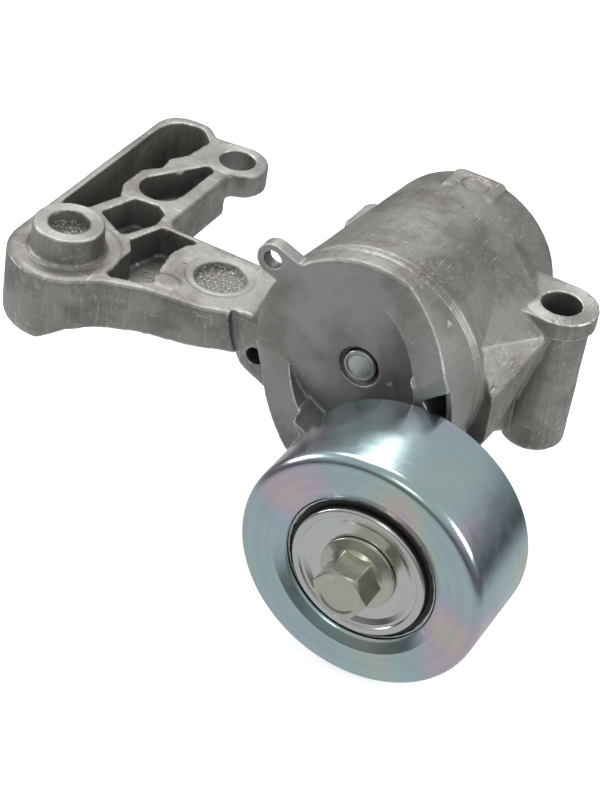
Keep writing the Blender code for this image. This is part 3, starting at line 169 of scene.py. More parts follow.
class Graph:
    """Adds nodes to one node tree, and feeds their sockets with values or with other sockets."""

    def __init__(self, tree):
        self.tree = tree

    def node(self, kind, inputs=None, **settings):
        made = self.tree.nodes.new(kind)
        for name, value in settings.items():
            setattr(made, name, value)
        for name, value in (inputs or {}).items():
            self.feed(made.inputs[name], value)
        return made

    def feed(self, socket, value):
        if isinstance(value, bpy.types.NodeSocket):
            self.tree.links.new(value, socket)
        else:
            socket.default_value = value

    def maths(self, operation, *values, clamp=False):
        inputs = dict(enumerate(values))
        return self.node("ShaderNodeMath", inputs, operation=operation, use_clamp=clamp).outputs[0]

    def ramp(self, value, low, high, start=0.0, end=1.0):
        """Maps low..high to start..end, smoothly and clamped."""
        inputs = {"Value": value, "From Min": low, "From Max": high, "To Min": start, "To Max": end}
        made = self.node("ShaderNodeMapRange", inputs, interpolation_type="SMOOTHSTEP")
        return made.outputs["Result"]

    def blend(self, share, first, second):
        made = self.node("ShaderNodeMix", data_type="RGBA")
        self.feed(made.inputs["Factor"], share)
        self.feed(made.inputs[6], first)
        self.feed(made.inputs[7], second)
        return made.outputs[2]

    def noise(self, vector, scale, detail=3.0, roughness=0.55):
        inputs = {"Vector": vector, "Scale": scale, "Detail": detail, "Roughness": roughness}
        return self.node("ShaderNodeTexNoise", inputs).outputs["Fac"]

    def place(self, vector, offset=(0, 0, 0), scale=(1, 1, 1)):
        """The vector moved so that offset becomes the centre, then scaled."""
        moved = self.node("ShaderNodeVectorMath", {0: vector, 1: offset}, operation="SUBTRACT")
        inputs = {0: moved.outputs[0], 1: scale}
        return self.node("ShaderNodeVectorMath", inputs, operation="MULTIPLY").outputs[0]

    def here(self):
        """The object's own coordinates, in metres."""
        return self.node("ShaderNodeTexCoord").outputs["Object"]


def group(name, inputs, outputs):
    """A new node group with named sockets. Returns its graph, input node and output node."""
    tree = bpy.data.node_groups.new(name, "ShaderNodeTree")
    kinds = {"value": "NodeSocketFloat", "vector": "NodeSocketVector", "colour": "NodeSocketColor"}
    for label, (kind, default) in inputs.items():
        socket = tree.interface.new_socket(label, in_out="INPUT", socket_type=kinds[kind])
        socket.default_value = default
    for label, kind in outputs.items():
        tree.interface.new_socket(label, in_out="OUTPUT", socket_type=kinds[kind])
    graph = Graph(tree)
    return graph, graph.node("NodeGroupInput"), graph.node("NodeGroupOutput")


def cast_skin_group():
    """Grain, pits and stains of a cast surface."""
    inputs = {"Grain": ("value", 1500.0), "Stain": ("value", 60.0), "Pitting": ("value", 1.0)}
    outputs = {"Height": "value", "Stains": "value", "Speckle": "value"}
    graph, given, made = group("Cast Skin", inputs, outputs)
    here = graph.here()
    fine = graph.noise(here, given.outputs["Grain"], 4.0, 0.65)
    coarse = graph.noise(here, graph.maths("MULTIPLY", given.outputs["Grain"], 0.22), 3.0, 0.6)
    cells = {"Vector": here, "Scale": graph.maths("MULTIPLY", given.outputs["Grain"], 0.16)}
    pits = graph.node("ShaderNodeTexVoronoi", cells).outputs["Distance"]
    rare = graph.noise(here, 210.0, 1.0)
    deep = graph.ramp(pits, 0.05, 0.24, 1.0, 0.0)
    pit = graph.maths("MULTIPLY", deep, graph.ramp(rare, 0.56, 0.66))
    pit = graph.maths("MULTIPLY", pit, given.outputs["Pitting"])
    height = graph.maths("MULTIPLY_ADD", coarse, 0.75, graph.maths("MULTIPLY", fine, 0.45))
    height = graph.maths("SUBTRACT", height, graph.maths("MULTIPLY", pit, 0.7))
    broad = graph.noise(here, given.outputs["Stain"], 5.0, 0.62)
    graph.feed(made.inputs["Height"], height)
    graph.feed(made.inputs["Stains"], graph.ramp(broad, 0.40, 0.68))
    speckle = graph.maths("ADD", graph.ramp(fine, 0.58, 0.75, 0.0, 0.7), pit, clamp=True)
    graph.feed(made.inputs["Speckle"], speckle)
    return graph.tree


def edge_wear_and_highlight_group():
    """A mask that is bright along outer edges, for worn metal and painted highlights, and broken up so
    that it isn't even.
    """
    graph, given, made = group(
        "Edge Wear And Highlight", {"Start": ("value", 0.52), "End": ("value", 0.60)}, {"Mask": "value"}
    )
    point = graph.node("ShaderNodeNewGeometry").outputs["Pointiness"]
    edge = graph.ramp(point, given.outputs["Start"], given.outputs["End"])
    broken = graph.ramp(graph.noise(graph.here(), 420.0, 4.0, 0.7), 0.30, 0.62, 0.35, 1.0)
    graph.feed(made.inputs["Mask"], graph.maths("MULTIPLY", edge, broken))
    return graph.tree


def recess_group():
    """A mask for painted shade: 1 in the open, falling in pockets and corners."""
    graph, given, made = group("Recess Shade", {"Reach": ("value", 0.012)}, {"Open": "value"})
    shade = graph.node("ShaderNodeAmbientOcclusion", samples=8)
    graph.feed(shade.inputs["Distance"], given.outputs["Reach"])
    graph.feed(made.inputs["Open"], shade.outputs["AO"])
    return graph.tree


def scratch_group():
    """Fine lines in three directions, where handling has scored the surface."""
    inputs = {"Density": ("value", 1.0), "Cover": ("value", 0.5)}
    graph, given, made = group("Scratches", inputs, {"Mask": "value"})
    here = graph.here()
    total = 0.0
    for stretch in ((60, 900, 1300), (1100, 90, 700), (800, 1200, 110)):
        long = graph.node("ShaderNodeVectorMath", {0: here, 1: stretch}, operation="MULTIPLY")
        scaled = graph.node("ShaderNodeVectorMath", {0: long.outputs[0]}, operation="SCALE")
        graph.feed(scaled.inputs["Scale"], given.outputs["Density"])
        line = graph.ramp(graph.noise(scaled.outputs[0], 1.0, 2.0), 0.62, 0.72)
        total = graph.maths("ADD", total, line, clamp=True)
    patch = graph.ramp(graph.noise(here, 90.0, 2.0), 0.40, 0.62)
    shown = graph.maths("MULTIPLY", patch, given.outputs["Cover"])
    graph.feed(made.inputs["Mask"], graph.maths("MULTIPLY", total, shown))
    return graph.tree


def turned_group():
    """Rings left by turning round an axis along Y: a height, a tone and the radius."""
    inputs = {"Centre": ("vector", (0, 0, 0)), "Rings": ("value", 2500.0)}
    outputs = {"Height": "value", "Tone": "value", "Radius": "value"}
    graph, given, made = group("Turned", inputs, outputs)
    moved = graph.place(graph.here(), given.outputs["Centre"], (1, 0, 1))
    radius = graph.node("ShaderNodeVectorMath", {0: moved}, operation="LENGTH").outputs["Value"]
    along = graph.node("ShaderNodeSeparateXYZ", {0: graph.here()}).outputs["Y"]
    depth = graph.maths("ADD", radius, along)
    ring = graph.node("ShaderNodeTexNoise", noise_dimensions="1D")
    graph.feed(ring.inputs["W"], graph.maths("MULTIPLY", depth, given.outputs["Rings"]))
    graph.feed(ring.inputs["Scale"], 1.0)
    graph.feed(ring.inputs["Detail"], 3.0)
    wide = graph.node("ShaderNodeTexNoise", noise_dimensions="1D")
    graph.feed(wide.inputs["W"], graph.maths("MULTIPLY", depth, 420.0))
    graph.feed(wide.inputs["Scale"], 1.0)
    graph.feed(made.inputs["Height"], ring.outputs["Fac"])
    graph.feed(made.inputs["Tone"], graph.ramp(wide.outputs["Fac"], 0.3, 0.7))
    graph.feed(made.inputs["Radius"], radius)
    return graph.tree


def plating_group():
    """The thin film colours of zinc plate: pink, green and blue drifting over grey."""
    inputs = {"Base": ("colour", (0.7, 0.7, 0.7, 1)), "Strength": ("value", 0.5)}
    graph, given, made = group("Plating Colours", inputs, {"Colour": "colour"})
    here = graph.here()
    bend = graph.noise(here, 38.0, 2.0)
    slow = graph.noise(graph.place(here, (0.11, 0.30, -0.07), (1, 0.5, 1)), 34.0, 1.5, 0.45)
    film = graph.maths("MULTIPLY_ADD", slow, 2.6, graph.maths("MULTIPLY", bend, 0.4))
    film = graph.maths("FRACT", graph.maths("SUBTRACT", film, 1.02))
    ramp = graph.node("ShaderNodeValToRGB", {"Fac": film})
    ramp.color_ramp.interpolation = "B_SPLINE"
    stops = ramp.color_ramp.elements
    stops[0].position, stops[0].color = 0.0, (0.82, 0.58, 0.66, 1)
    stops[1].position, stops[1].color = 1.0, (0.82, 0.58, 0.66, 1)
    for place, tint in (
        (0.12, (0.66, 0.60, 0.76, 1)),
        (0.26, (0.48, 0.64, 0.78, 1)),
        (0.46, (0.44, 0.72, 0.74, 1)),
        (0.64, (0.50, 0.76, 0.68, 1)),
        (0.80, (0.66, 0.74, 0.62, 1)),
        (0.90, (0.84, 0.70, 0.56, 1)),
    ):
        stops.new(place).color = tint
    tinted = graph.blend(given.outputs["Strength"], given.outputs["Base"], ramp.outputs["Color"])
    graph.feed(made.inputs["Colour"], tinted)
    return graph.tree


def spot_group():
    """A mask for a flat machined ring that faces up, at a centre and between two radii."""
    inputs = {
        "Centre": ("vector", (0, 0, 0)),
        "Inner": ("value", 0.0),
        "Outer": ("value", 0.01),
        "Reach": ("value", 0.0004),
    }
    graph, given, made = group("Machined Spot", inputs, {"Mask": "value", "Radius": "value"})
    moved = graph.place(graph.here(), given.outputs["Centre"])
    flat = graph.place(moved, (0, 0, 0), (1, 1, 0))
    radius = graph.node("ShaderNodeVectorMath", {0: flat}, operation="LENGTH").outputs["Value"]
    height = graph.node("ShaderNodeSeparateXYZ", {0: moved}).outputs["Z"]
    near = graph.maths("LESS_THAN", graph.maths("ABSOLUTE", height), given.outputs["Reach"])
    inside = graph.maths("LESS_THAN", radius, given.outputs["Outer"])
    outside = graph.maths("GREATER_THAN", radius, given.outputs["Inner"])
    mask = graph.maths("MULTIPLY", graph.maths("MULTIPLY", near, inside), outside)
    graph.feed(made.inputs["Mask"], mask)
    graph.feed(made.inputs["Radius"], radius)
    return graph.tree


GROUPS = {
    "Cast Skin": cast_skin_group,
    "Edge Wear And Highlight": edge_wear_and_highlight_group,
    "Recess Shade": recess_group,
    "Scratches": scratch_group,
    "Turned": turned_group,
    "Plating Colours": plating_group,
    "Machined Spot": spot_group,
}


def effect(graph, name, **inputs):
    """Places one of the shared effects in a material, with its own values."""
    tree = bpy.data.node_groups.get(name) or GROUPS[name]()
    made = graph.node("ShaderNodeGroup", node_tree=tree)
    for label, value in inputs.items():
        graph.feed(made.inputs[label], value)
    return made.outputs


def new_material(name, metallic, **uniform):
    """A material with only its Principled shader and output. Returns its graph and shader."""
    made = bpy.data.materials.new(name)
    made.use_nodes = True
    graph = Graph(made.node_tree)
    shader = made.node_tree.nodes["Principled BSDF"]
    shader.inputs["Metallic"].default_value = metallic
    for label, value in uniform.items():
        shader.inputs[label.replace("_", " ")].default_value = value
    return made, graph, shader


def bump(graph, shader, height, distance, strength=1.0):
    inputs = {"Height": height, "Distance": distance, "Strength": strength}
    graph.feed(shader.inputs["Normal"], graph.node("ShaderNodeBump", inputs).outputs["Normal"])


def rgba(value):
    return (*value, 1.0)


def casting_material(name, base, dark, spots=(), cores=(), *, grain, stain, scored, streaks):
    """Die-cast aluminium: grainy skin, painted shade in pockets, worn edges with painted highlights,
    scratches, machined spots.
    """
    colours = bpy.context.scene.tensioner_colours
    made, graph, shader = new_material(name, 0.82)
    skin = effect(graph, "Cast Skin", Grain=grain, Stain=stain, Pitting=1.0)
    wear_and_highlight = effect(graph, "Edge Wear And Highlight", Start=0.515, End=0.565)["Mask"]
    room = effect(graph, "Recess Shade", Reach=0.014)["Open"]
    lines = effect(graph, "Scratches", Density=1.0, Cover=scored)["Mask"]
    tone = graph.blend(graph.maths("MULTIPLY", skin["Stains"], 0.75), rgba(base), rgba(dark))
    tone = graph.blend(graph.maths("MULTIPLY", skin["Speckle"], 0.35), tone, rgba(dark))
    tone = graph.blend(graph.maths("MULTIPLY", lines, 0.5), tone, rgba(colours.bright))
    # Painted shade: the skin is darkened towards near-black in pockets and corners, where ambient
    # occlusion finds little open room.
    shade = graph.ramp(room, 0.15, 0.95, 0.62, 0.0)
    tone = graph.blend(shade, tone, (0.10, 0.095, 0.09, 1))
    # Worn metal and painted highlights: outer edges are brightened towards the bright colour.
    tone = graph.blend(wear_and_highlight, tone, rgba(colours.bright))
    rough = graph.maths("ADD", 0.36, graph.maths("MULTIPLY", skin["Height"], 0.20))
    rough = graph.maths("SUBTRACT", rough, graph.maths("MULTIPLY", wear_and_highlight, 0.18))
    drawn = graph.noise(graph.place(graph.here(), (0, 0, 0), (1, 1, 0.07)), 1300.0, 3.0, 0.6)
    tone = graph.blend(graph.ramp(drawn, 0.50, 0.72, 0.0, streaks), tone, rgba(colours.bright))
    height = graph.maths("ADD", skin["Height"], graph.maths("MULTIPLY", drawn, 2 * streaks))
    for centre, outer in cores:
        place = {"Centre": centre, "Outer": outer, "Reach": SPARKLE_REACH}
        core = effect(graph, "Machined Spot", **place)["Mask"]
        crumb = graph.noise(graph.here(), 1500.0, 4.0, 0.75)
        sparkle = graph.maths("MULTIPLY", graph.ramp(crumb, 0.52, 0.60), core)
        tone = graph.blend(graph.maths("MULTIPLY", core, 0.45), tone, rgba(dark))
        tone = graph.blend(sparkle, tone, rgba(colours.bright))
        crumbs = graph.maths("MULTIPLY", graph.maths("MULTIPLY", crumb, 2.4), core)
        height = graph.maths("ADD", height, crumbs)
    for centre, inner, outer in spots:
        spot = effect(graph, "Machined Spot", Centre=centre, Inner=inner, Outer=outer)
        face = graph.blend(0.22, tone, rgba(colours.bright))
        tone = graph.blend(spot["Mask"], tone, face)
        rough = graph.maths("SUBTRACT", rough, graph.maths("MULTIPLY", spot["Mask"], 0.10))
        rings = graph.maths("SINE", graph.maths("MULTIPLY", spot["Radius"], 16000.0))
        ring = graph.maths("MULTIPLY", graph.maths("MULTIPLY", rings, 0.18), spot["Mask"])
        height = graph.maths("ADD", height, ring)
    graph.feed(shader.inputs["Base Color"], tone)
    graph.feed(shader.inputs["Roughness"], rough)
    bump(graph, shader, height, 0.00022, 0.75)
    return made


def turned_metal(
    name, base, centre, roughness, rings=2600.0, plating=0.0, depth=0.00002, wear_and_highlight=0.5
):
    """Turned, pressed or ground metal with rings round its axis, and plating colours."""
    colours = bpy.context.scene.tensioner_colours
    made, graph, shader = new_material(name, 1.0)
    turn = effect(graph, "Turned", Centre=centre, Rings=rings)
    tone = effect(graph, "Plating Colours", Base=rgba(base), Strength=plating)["Colour"]
    tone = graph.blend(graph.maths("MULTIPLY", turn["Tone"], 0.10), tone, (0.30, 0.30, 0.30, 1))
    specks = graph.ramp(graph.noise(graph.here(), 900.0, 2.0), 0.70, 0.78, 0.0, 0.35)
    tone = graph.blend(specks, tone, (0.20, 0.20, 0.20, 1))
    # Worn metal and painted highlights: outer edges are brightened towards the bright colour.
    edge = effect(graph, "Edge Wear And Highlight", Start=0.53, End=0.66)["Mask"]
    tone = graph.blend(graph.maths("MULTIPLY", edge, wear_and_highlight), tone, rgba(colours.bright))
    cloud = graph.noise(graph.here(), 160.0, 4.0, 0.6)
    rough = graph.ramp(cloud, 0.25, 0.75, roughness - 0.06, roughness + 0.08)
    graph.feed(shader.inputs["Base Color"], tone)
    graph.feed(shader.inputs["Roughness"], rough)
    graph.feed(shader.inputs["Metallic"], graph.ramp(specks, 0.0, 0.35, 1.0, 0.75))
    bump(graph, shader, turn["Height"], depth)
    return made


def soft_material(name, base, centre, roughness):
    """Moulded rubber or nylon: dark, with a dry grain, fine rings and pale dust."""
    made, graph, shader = new_material(name, 0.0)
    turn = effect(graph, "Turned", Centre=centre, Rings=1400.0)
    grain = graph.noise(graph.here(), 2600.0, 3.0, 0.6)
    dust = graph.ramp(graph.noise(graph.here(), 240.0, 4.0), 0.52, 0.80, 0.0, 0.22)
    tone = graph.blend(dust, rgba(base), (0.16, 0.15, 0.14, 1))
    graph.feed(shader.inputs["Base Color"], tone)
    rough = graph.ramp(grain, 0.2, 0.8, roughness - 0.08, roughness + 0.08)
    graph.feed(shader.inputs["Roughness"], rough)
    bump(graph, shader, graph.maths("ADD", grain, turn["Height"]), 0.00005)
    return made


# Modelling helpers


def deselect():
    if bpy.context.mode != "OBJECT":
        bpy.ops.object.mode_set(mode="OBJECT")
    bpy.ops.object.select_all(action="DESELECT")


def only(obj):
    deselect()
    obj.select_set(True)
    bpy.context.view_layer.objects.active = obj


def settle(obj, name, finish, body, slot, *nodes):
    """Names a finished piece, gives it its material and hands it to its body."""
    only(obj)
    bpy.ops.object.transform_apply(location=True, rotation=True, scale=True)
    obj.name = name
    obj.data.name = name
    obj.data.materials.clear()
    obj.data.materials.append(finish)
    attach(obj, body)
    if nodes:
        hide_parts(*nodes)
    return obj


def softened(corners, steps=6):
    """A closed profile whose corners (radius, y, round) are replaced by arcs."""
    profile = []
    for i, (radius, y, size) in enumerate(corners):
        here = Vector((radius, y))
        if not size:
            profile.append(here)
            continue
        before = (Vector(corners[i - 1][:2]) - here).normalized()
        after = (Vector(corners[(i + 1) % len(corners)][:2]) - here).normalized()
        half = before.angle(after) / 2
        reach = size / math.tan(half)
        middle = here + (before + after).normalized() * size / math.sin(half)
        first = here + before * reach - middle
        sweep = first.angle_signed(here + after * reach - middle)
        for step in range(steps + 1):
            profile.append(middle + Matrix.Rotation(-sweep * step / steps, 2) @ first)
    return profile


def turned(centre, corners, steps=144, smooth=35.0):
    """Draws a profile point by point, then spins it round the axis along Y through centre."""
    profile = softened(corners)
    deselect()
    start = Vector((centre.x + profile[0].x, profile[0].y, centre.z))
    bpy.ops.mesh.primitive_plane_add(size=0.001, location=start)
    bpy.ops.object.mode_set(mode="EDIT")
    bpy.ops.mesh.select_all(action="SELECT")
    bpy.ops.mesh.merge(type="CENTER")
    for here, following in zip(profile, profile[1:] + profile[:1]):
        step = following - here
        move = {"value": (step.x, step.y, 0)}
        bpy.ops.mesh.extrude_region_move(TRANSFORM_OT_translate=move)
    bpy.ops.mesh.select_all(action="SELECT")
    bpy.ops.mesh.remove_doubles(threshold=WELD)
    bpy.ops.mesh.select_all(action="SELECT")
    bpy.ops.mesh.spin(steps=steps, angle=math.tau, center=(centre.x, 0, centre.z), axis=(0, 1, 0))
    bpy.ops.mesh.select_all(action="SELECT")
    bpy.ops.mesh.remove_doubles(threshold=WELD)
    bpy.ops.mesh.select_all(action="SELECT")
    bpy.ops.mesh.normals_make_consistent(inside=False)
    bpy.ops.object.mode_set(mode="OBJECT")
    made = bpy.context.active_object
    bpy.ops.object.shade_smooth_by_angle(angle=math.radians(smooth))
    return made


def apply(obj, kind, **settings):
    """Adds a modifier and applies it."""
    only(obj)
    modifier = obj.modifiers.new(kind.title(), kind)
    for name, value in settings.items():
        setattr(modifier, name, value)
    bpy.ops.object.modifier_apply(modifier=modifier.name)


def copy_of(node):
    """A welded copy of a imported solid, to be worked on."""
    deselect()
    source = frame["nodes"][node]
    made = source.copy()
    made.data = source.data.copy()
    made.parent = None
    for key in list(made.keys()):
        del made[key]
    bpy.context.scene.collection.objects.link(made)
    made.matrix_world = Matrix.Identity(4)
    only(made)
    bpy.ops.object.mode_set(mode="EDIT")
    bpy.ops.mesh.select_all(action="SELECT")
    bpy.ops.mesh.remove_doubles(threshold=NODE_WELD)
    bpy.ops.object.mode_set(mode="OBJECT")
    return made


def cast_surface(obj, voxel, skin, rounds, most):
    """Rebuilds a welded solid as one cast skin, with small fillets and an uneven surface."""
    apply(obj, "REMESH", mode="VOXEL", voxel_size=voxel)
    apply(obj, "SMOOTH", factor=0.5, iterations=rounds)
    swell = bpy.data.textures.new("casting_swell", "CLOUDS")
    swell.noise_scale = 0.011
    swell.noise_depth = 2
    apply(obj, "DISPLACE", texture=swell, texture_coords="LOCAL", strength=skin, mid_level=0.5)
    count = sum(len(face.vertices) - 2 for face in obj.data.polygons)
    if count > most:
        apply(obj, "DECIMATE", ratio=most / count)
    only(obj)
    bpy.ops.object.shade_smooth()


# Operators, one for each piece or group of like pieces


class BuildHousing(bpy.types.Operator):
    """Casts the bracket, the drum and the bolt column in one skin"""

    bl_idname = "tensioner.housing"
    bl_label = "Housing"

    def execute(self, context):
        sizes = context.scene.tensioner_sizes
        colours = context.scene.tensioner_colours
        casting = copy_of("housing")
        voxel = sizes.cast_voxel * 1.0
        cast_surface(casting, voxel, sizes.skin_depth, SKIN_ROUNDS, HOUSING_TRIANGLES)
        column = Vector((0, 0, MOUNTS["column_ear_top"].z))
        ear = MOUNTS["rear_ear_top"] - EAR_OFFSET
        spots = [(column, 0.0, COLUMN_RING), (ear, 0.0, EAR_RING)]
        cores = []
        for name, offset, ring, core_depth, core_radius in BOSSES:
            top = MOUNTS[name] - Vector((offset, 0, 0))
            spots.append((top, *ring))
            cores.append((top - Vector((0, 0, core_depth)), core_radius))
        finish = casting_material(
            "Cast Aluminium",
            colours.casting,
            colours.casting_dark,
            spots,
            cores,
            grain=1500.0,
            stain=62.0,
            scored=0.7,
            streaks=0.12,
        )
        settle(casting, "cast_housing", finish, "bracket", "cast_aluminium", "housing")
        return {"FINISHED"}


class BuildArm(bpy.types.Operator):
    """Casts the arm with its disc, rails, beam and eyelet"""

    bl_idname = "tensioner.arm"
    bl_label = "Arm"

    def execute(self, context):
        sizes = context.scene.tensioner_sizes
        colours = context.scene.tensioner_colours
        casting = copy_of("tensioner_arm")
        voxel = sizes.cast_voxel * 0.8
        cast_surface(casting, voxel, sizes.skin_depth * 0.6, SKIN_ROUNDS, ARM_TRIANGLES)
        finish = casting_material(
            "Arm Aluminium",
            colours.arm,
            colours.arm_dark,
            grain=1900.0,
            stain=48.0,
            scored=0.22,
            streaks=0.0,
        )
        settle(casting, "cast_arm", finish, "arm", "arm_aluminium", "tensioner_arm")
        return {"FINISHED"}


class BuildPulley(bpy.types.Operator):
    """Presses the pulley's shell, with its rounded edge and its rolled lip"""

    bl_idname = "tensioner.pulley"
    bl_label = "Pulley"

    def execute(self, context):
        sizes = context.scene.tensioner_sizes
        colours = context.scene.tensioner_colours
        front = PULLEY_LOW.y
        rear = PULLEY_HIGH.y
        radius = (PULLEY_HIGH.x - PULLEY_LOW.x) / 2
        bearing_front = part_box("bearing_outer_ring")[0].y
        bearing_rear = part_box("bearing_outer_ring")[1].y
        seat = (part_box("bearing_outer_ring")[1].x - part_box("bearing_outer_ring")[0].x) / 2 + 0.0003
        wall = sizes.shell_wall
        corners = [
            (radius, rear, 0.0005),
            (radius, front, sizes.shell_bend),
            (sizes.face_inner, front, 0.0012),
            (sizes.lip_inner + 0.0008, front + 0.0014, 0.0016),
            (sizes.lip_inner, bearing_front - 0.0003, 0.0002),
            (seat, bearing_front - 0.0002, 0),
            (seat, bearing_rear + 0.0012, 0.0002),
            (seat + wall * 0.8, bearing_rear + 0.0012, 0.0002),
            (seat + wall * 0.8, front + wall, 0.0012),
            (radius - wall, front + wall, 0.0022),
            (radius - wall, rear, 0.0004),
        ]
        shell = turned(PULLEY_AXIS, corners, 192)
        finish = turned_metal("Zinc Plate", colours.zinc, PULLEY_AXIS, 0.19, 3200.0, plating=0.55)
        settle(shell, "pressed_pulley", finish, "pulley", "plated_steel", "pulley_shell")
        return {"FINISHED"}


class BuildSeals(bpy.types.Operator):
    """Moulds the bearing's two ribbed rubber seals"""

    bl_idname = "tensioner.seals"
    bl_label = "Seals"

    def execute(self, context):
        rubber = context.scene.tensioner_colours.rubber
        finish = soft_material("Seal Rubber", rubber, PULLEY_AXIS, 0.55)
        for node, outward in (("front_seal", -1), ("rear_seal", 1)):
            low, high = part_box(node)
            outer = (high.x - low.x) / 2
            face = low.y if outward < 0 else high.y
            back = high.y if outward < 0 else low.y
            dip = 0.00025 * -outward
            corners = [
                (outer, back, 0),
                (outer, face, 0.0003),
                (outer - 0.0012, face, 0.0002),
                (outer - 0.0016, face + dip, 0.0001),
                (outer - 0.0030, face + dip, 0.0001),
                (outer - 0.0034, face, 0.0002),
                (SEAL_INNER + 0.0010, face, 0.0002),
                (SEAL_INNER, back, 0.0001),
            ]
            seal = turned(PULLEY_AXIS, corners)
            settle(seal, f"moulded_{node}", finish, "pulley", "seal_rubber", node)
        return {"FINISHED"}


class BuildCovers(bpy.types.Operator):
    """Presses the dished dust covers on both sides of the bearing"""

    bl_idname = "tensioner.covers"
    bl_label = "Dust Covers"

    def execute(self, context):
        sizes = context.scene.tensioner_sizes
        colours = context.scene.tensioner_colours
        finish = turned_metal(
            "Cover Steel", colours.cover, PULLEY_AXIS, 0.20, 1500.0, plating=0.10, depth=0.00003
        )
        sheet = sizes.cover_sheet
        floor = sizes.cover_floor
        for node, outward in (("front_dust_cover", -1), ("rear_dust_cover", 1)):
            hole = COVER_HOLES[node]
            low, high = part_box(node)
            outer = (high.x - low.x) / 2
            rim = low.y if outward < 0 else high.y
            seat = high.y if outward < 0 else low.y
            step = sheet * outward
            corners = [
                (hole, seat, 0),
                (hole, seat + step, 0.0002),
                (floor, seat + step, 0.0005),
                (floor + 0.0016, rim - step * 0.55, 0.0005),
                (floor + 0.0023, rim - step * 0.55, 0.0003),
                (floor + 0.0027, rim, 0.0003),
                (outer, rim, 0.0008),
                (outer, seat + step * 0.33, 0.0002),
                (outer - sheet, seat + step * 0.33, 0.0002),
                (outer - sheet, rim - step, 0.0003),
                (floor + 0.0030, rim - step, 0.0003),
                (floor + 0.0012, seat, 0.0003),
            ]
            cover = turned(PULLEY_AXIS, corners)
            settle(cover, f"pressed_{node}", finish, "arm", "cover_steel", node)
        return {"FINISHED"}


class BuildBolt(bpy.types.Operator):
    """Forges the flanged hexagon bolt in the pulley's middle"""

    bl_idname = "tensioner.bolt"
    bl_label = "Pulley Bolt"

    def execute(self, context):
        sizes = context.scene.tensioner_sizes
        colours = context.scene.tensioner_colours
        low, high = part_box("pulley_bolt")
        top = low.y
        flange = top + sizes.hex_height
        seat = flange + FLANGE_DEPTH
        flats = sizes.hex_flats / 2
        corner = sizes.hex_flats / math.sqrt(3)
        stem = [
            (0, flange - 0.0012, 0),
            (flats - 0.0006, flange - 0.0012, 0.0004),
            (flats + 0.0012, flange + 0.0001, 0.0008),
            (sizes.flange_radius, seat - 0.0008, 0.0004),
            (sizes.flange_radius, seat, 0.0001),
            (BOLT_SHANK, seat, 0.0002),
            (BOLT_SHANK, high.y, 0.0009),
            (0, high.y, 0),
        ]
        bolt = turned(PULLEY_AXIS, stem)
        crown = [
            (0, top + 0.0003, 0),
            (flats - 0.0019, top + 0.0003, 0.0002),
            (flats - 0.0012, top, 0.0002),
            (flats - 0.0002, top, 0.0002),
            (corner + 0.0003, top + 0.0012, 0),
            (corner + 0.0003, flange + 0.0002, 0),
            (0, flange + 0.0002, 0),
        ]
        turned_crown = turned(PULLEY_AXIS, crown)
        deselect()
        middle = Vector((PULLEY_AXIS.x, (top + flange) / 2, PULLEY_AXIS.z))
        depth = flange - top + 0.004
        bpy.ops.mesh.primitive_cylinder_add(vertices=6, radius=corner, depth=depth, location=middle)
        head = bpy.context.active_object
        head.rotation_euler = (math.radians(90), math.radians(-28), 0)
        bpy.ops.object.transform_apply(location=True, rotation=True, scale=True)
        apply(head, "BEVEL", width=0.00035, segments=3, limit_method="ANGLE")
        apply(head, "BOOLEAN", operation="INTERSECT", object=turned_crown, solver="EXACT")
        apply(bolt, "BOOLEAN", operation="UNION", object=head, solver="EXACT")
        for helper in (turned_crown, head):
            bpy.data.objects.remove(helper)
        only(bolt)
        bpy.ops.object.shade_smooth_by_angle(angle=math.radians(30))
        finish = turned_metal(
            "Yellow Zinc",
            colours.yellow_zinc,
            PULLEY_AXIS,
            0.26,
            1500.0,
            plating=0.12,
            depth=0.00001,
            wear_and_highlight=0.7,
        )
        settle(bolt, "flanged_bolt", finish, "arm", "yellow_zinc", "pulley_bolt")
        return {"FINISHED"}


class BuildShaft(bpy.types.Operator):
    """Turns the pivot shaft, with the ring groove in its front face"""

    bl_idname = "tensioner.shaft"
    bl_label = "Pivot Shaft"

    def execute(self, context):
        colours = context.scene.tensioner_colours
        front = SHAFT_LOW.y
        rear = SHAFT_HIGH.y
        big = (SHAFT_HIGH.x - SHAFT_LOW.x) / 2
        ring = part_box("retaining_ring")
        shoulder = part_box("front_thrust_washer")[0].y
        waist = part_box("rear_washer")[0].y - WAIST_TO_WASHER
        groove_low = ring[0].y - 0.00015
        groove_high = ring[1].y + 0.00015
        groove_floor = SHAFT_TAIL - 0.0008
        corners = [
            (0, front + 0.0003, 0),
            (0.0034, front + 0.0003, 0.0001),
            (0.0036, front + 0.0006, 0.0001),
            (0.0039, front + 0.0006, 0.0001),
            (0.0041, front, 0.0001),
            (SHAFT_NECK, front, 0.0005),
            (SHAFT_NECK, shoulder, 0),
            (big, shoulder, 0.0003),
            (big, waist, 0.0003),
            (SHAFT_TAIL, waist, 0),
            (SHAFT_TAIL, groove_low, 0),
            (groove_floor, groove_low, 0),
            (groove_floor, groove_high, 0),
            (SHAFT_TAIL, groove_high, 0),
            (SHAFT_TAIL, rear, 0.0006),
            (0, rear, 0),
        ]
        shaft = turned(PIVOT_AXIS, corners)
        finish = turned_metal(
            "Shaft Steel", (0.60, 0.63, 0.57), PIVOT_AXIS, 0.30, 2000.0, plating=0.08
        )
        settle(shaft, "turned_shaft", finish, "arm", "shaft_steel", "pivot_shaft")
        ring_node = frame["nodes"]["retaining_ring"]
        ring_node.data.materials.clear()
        ring_node.data.materials.append(finish)
        return {"FINISHED"}


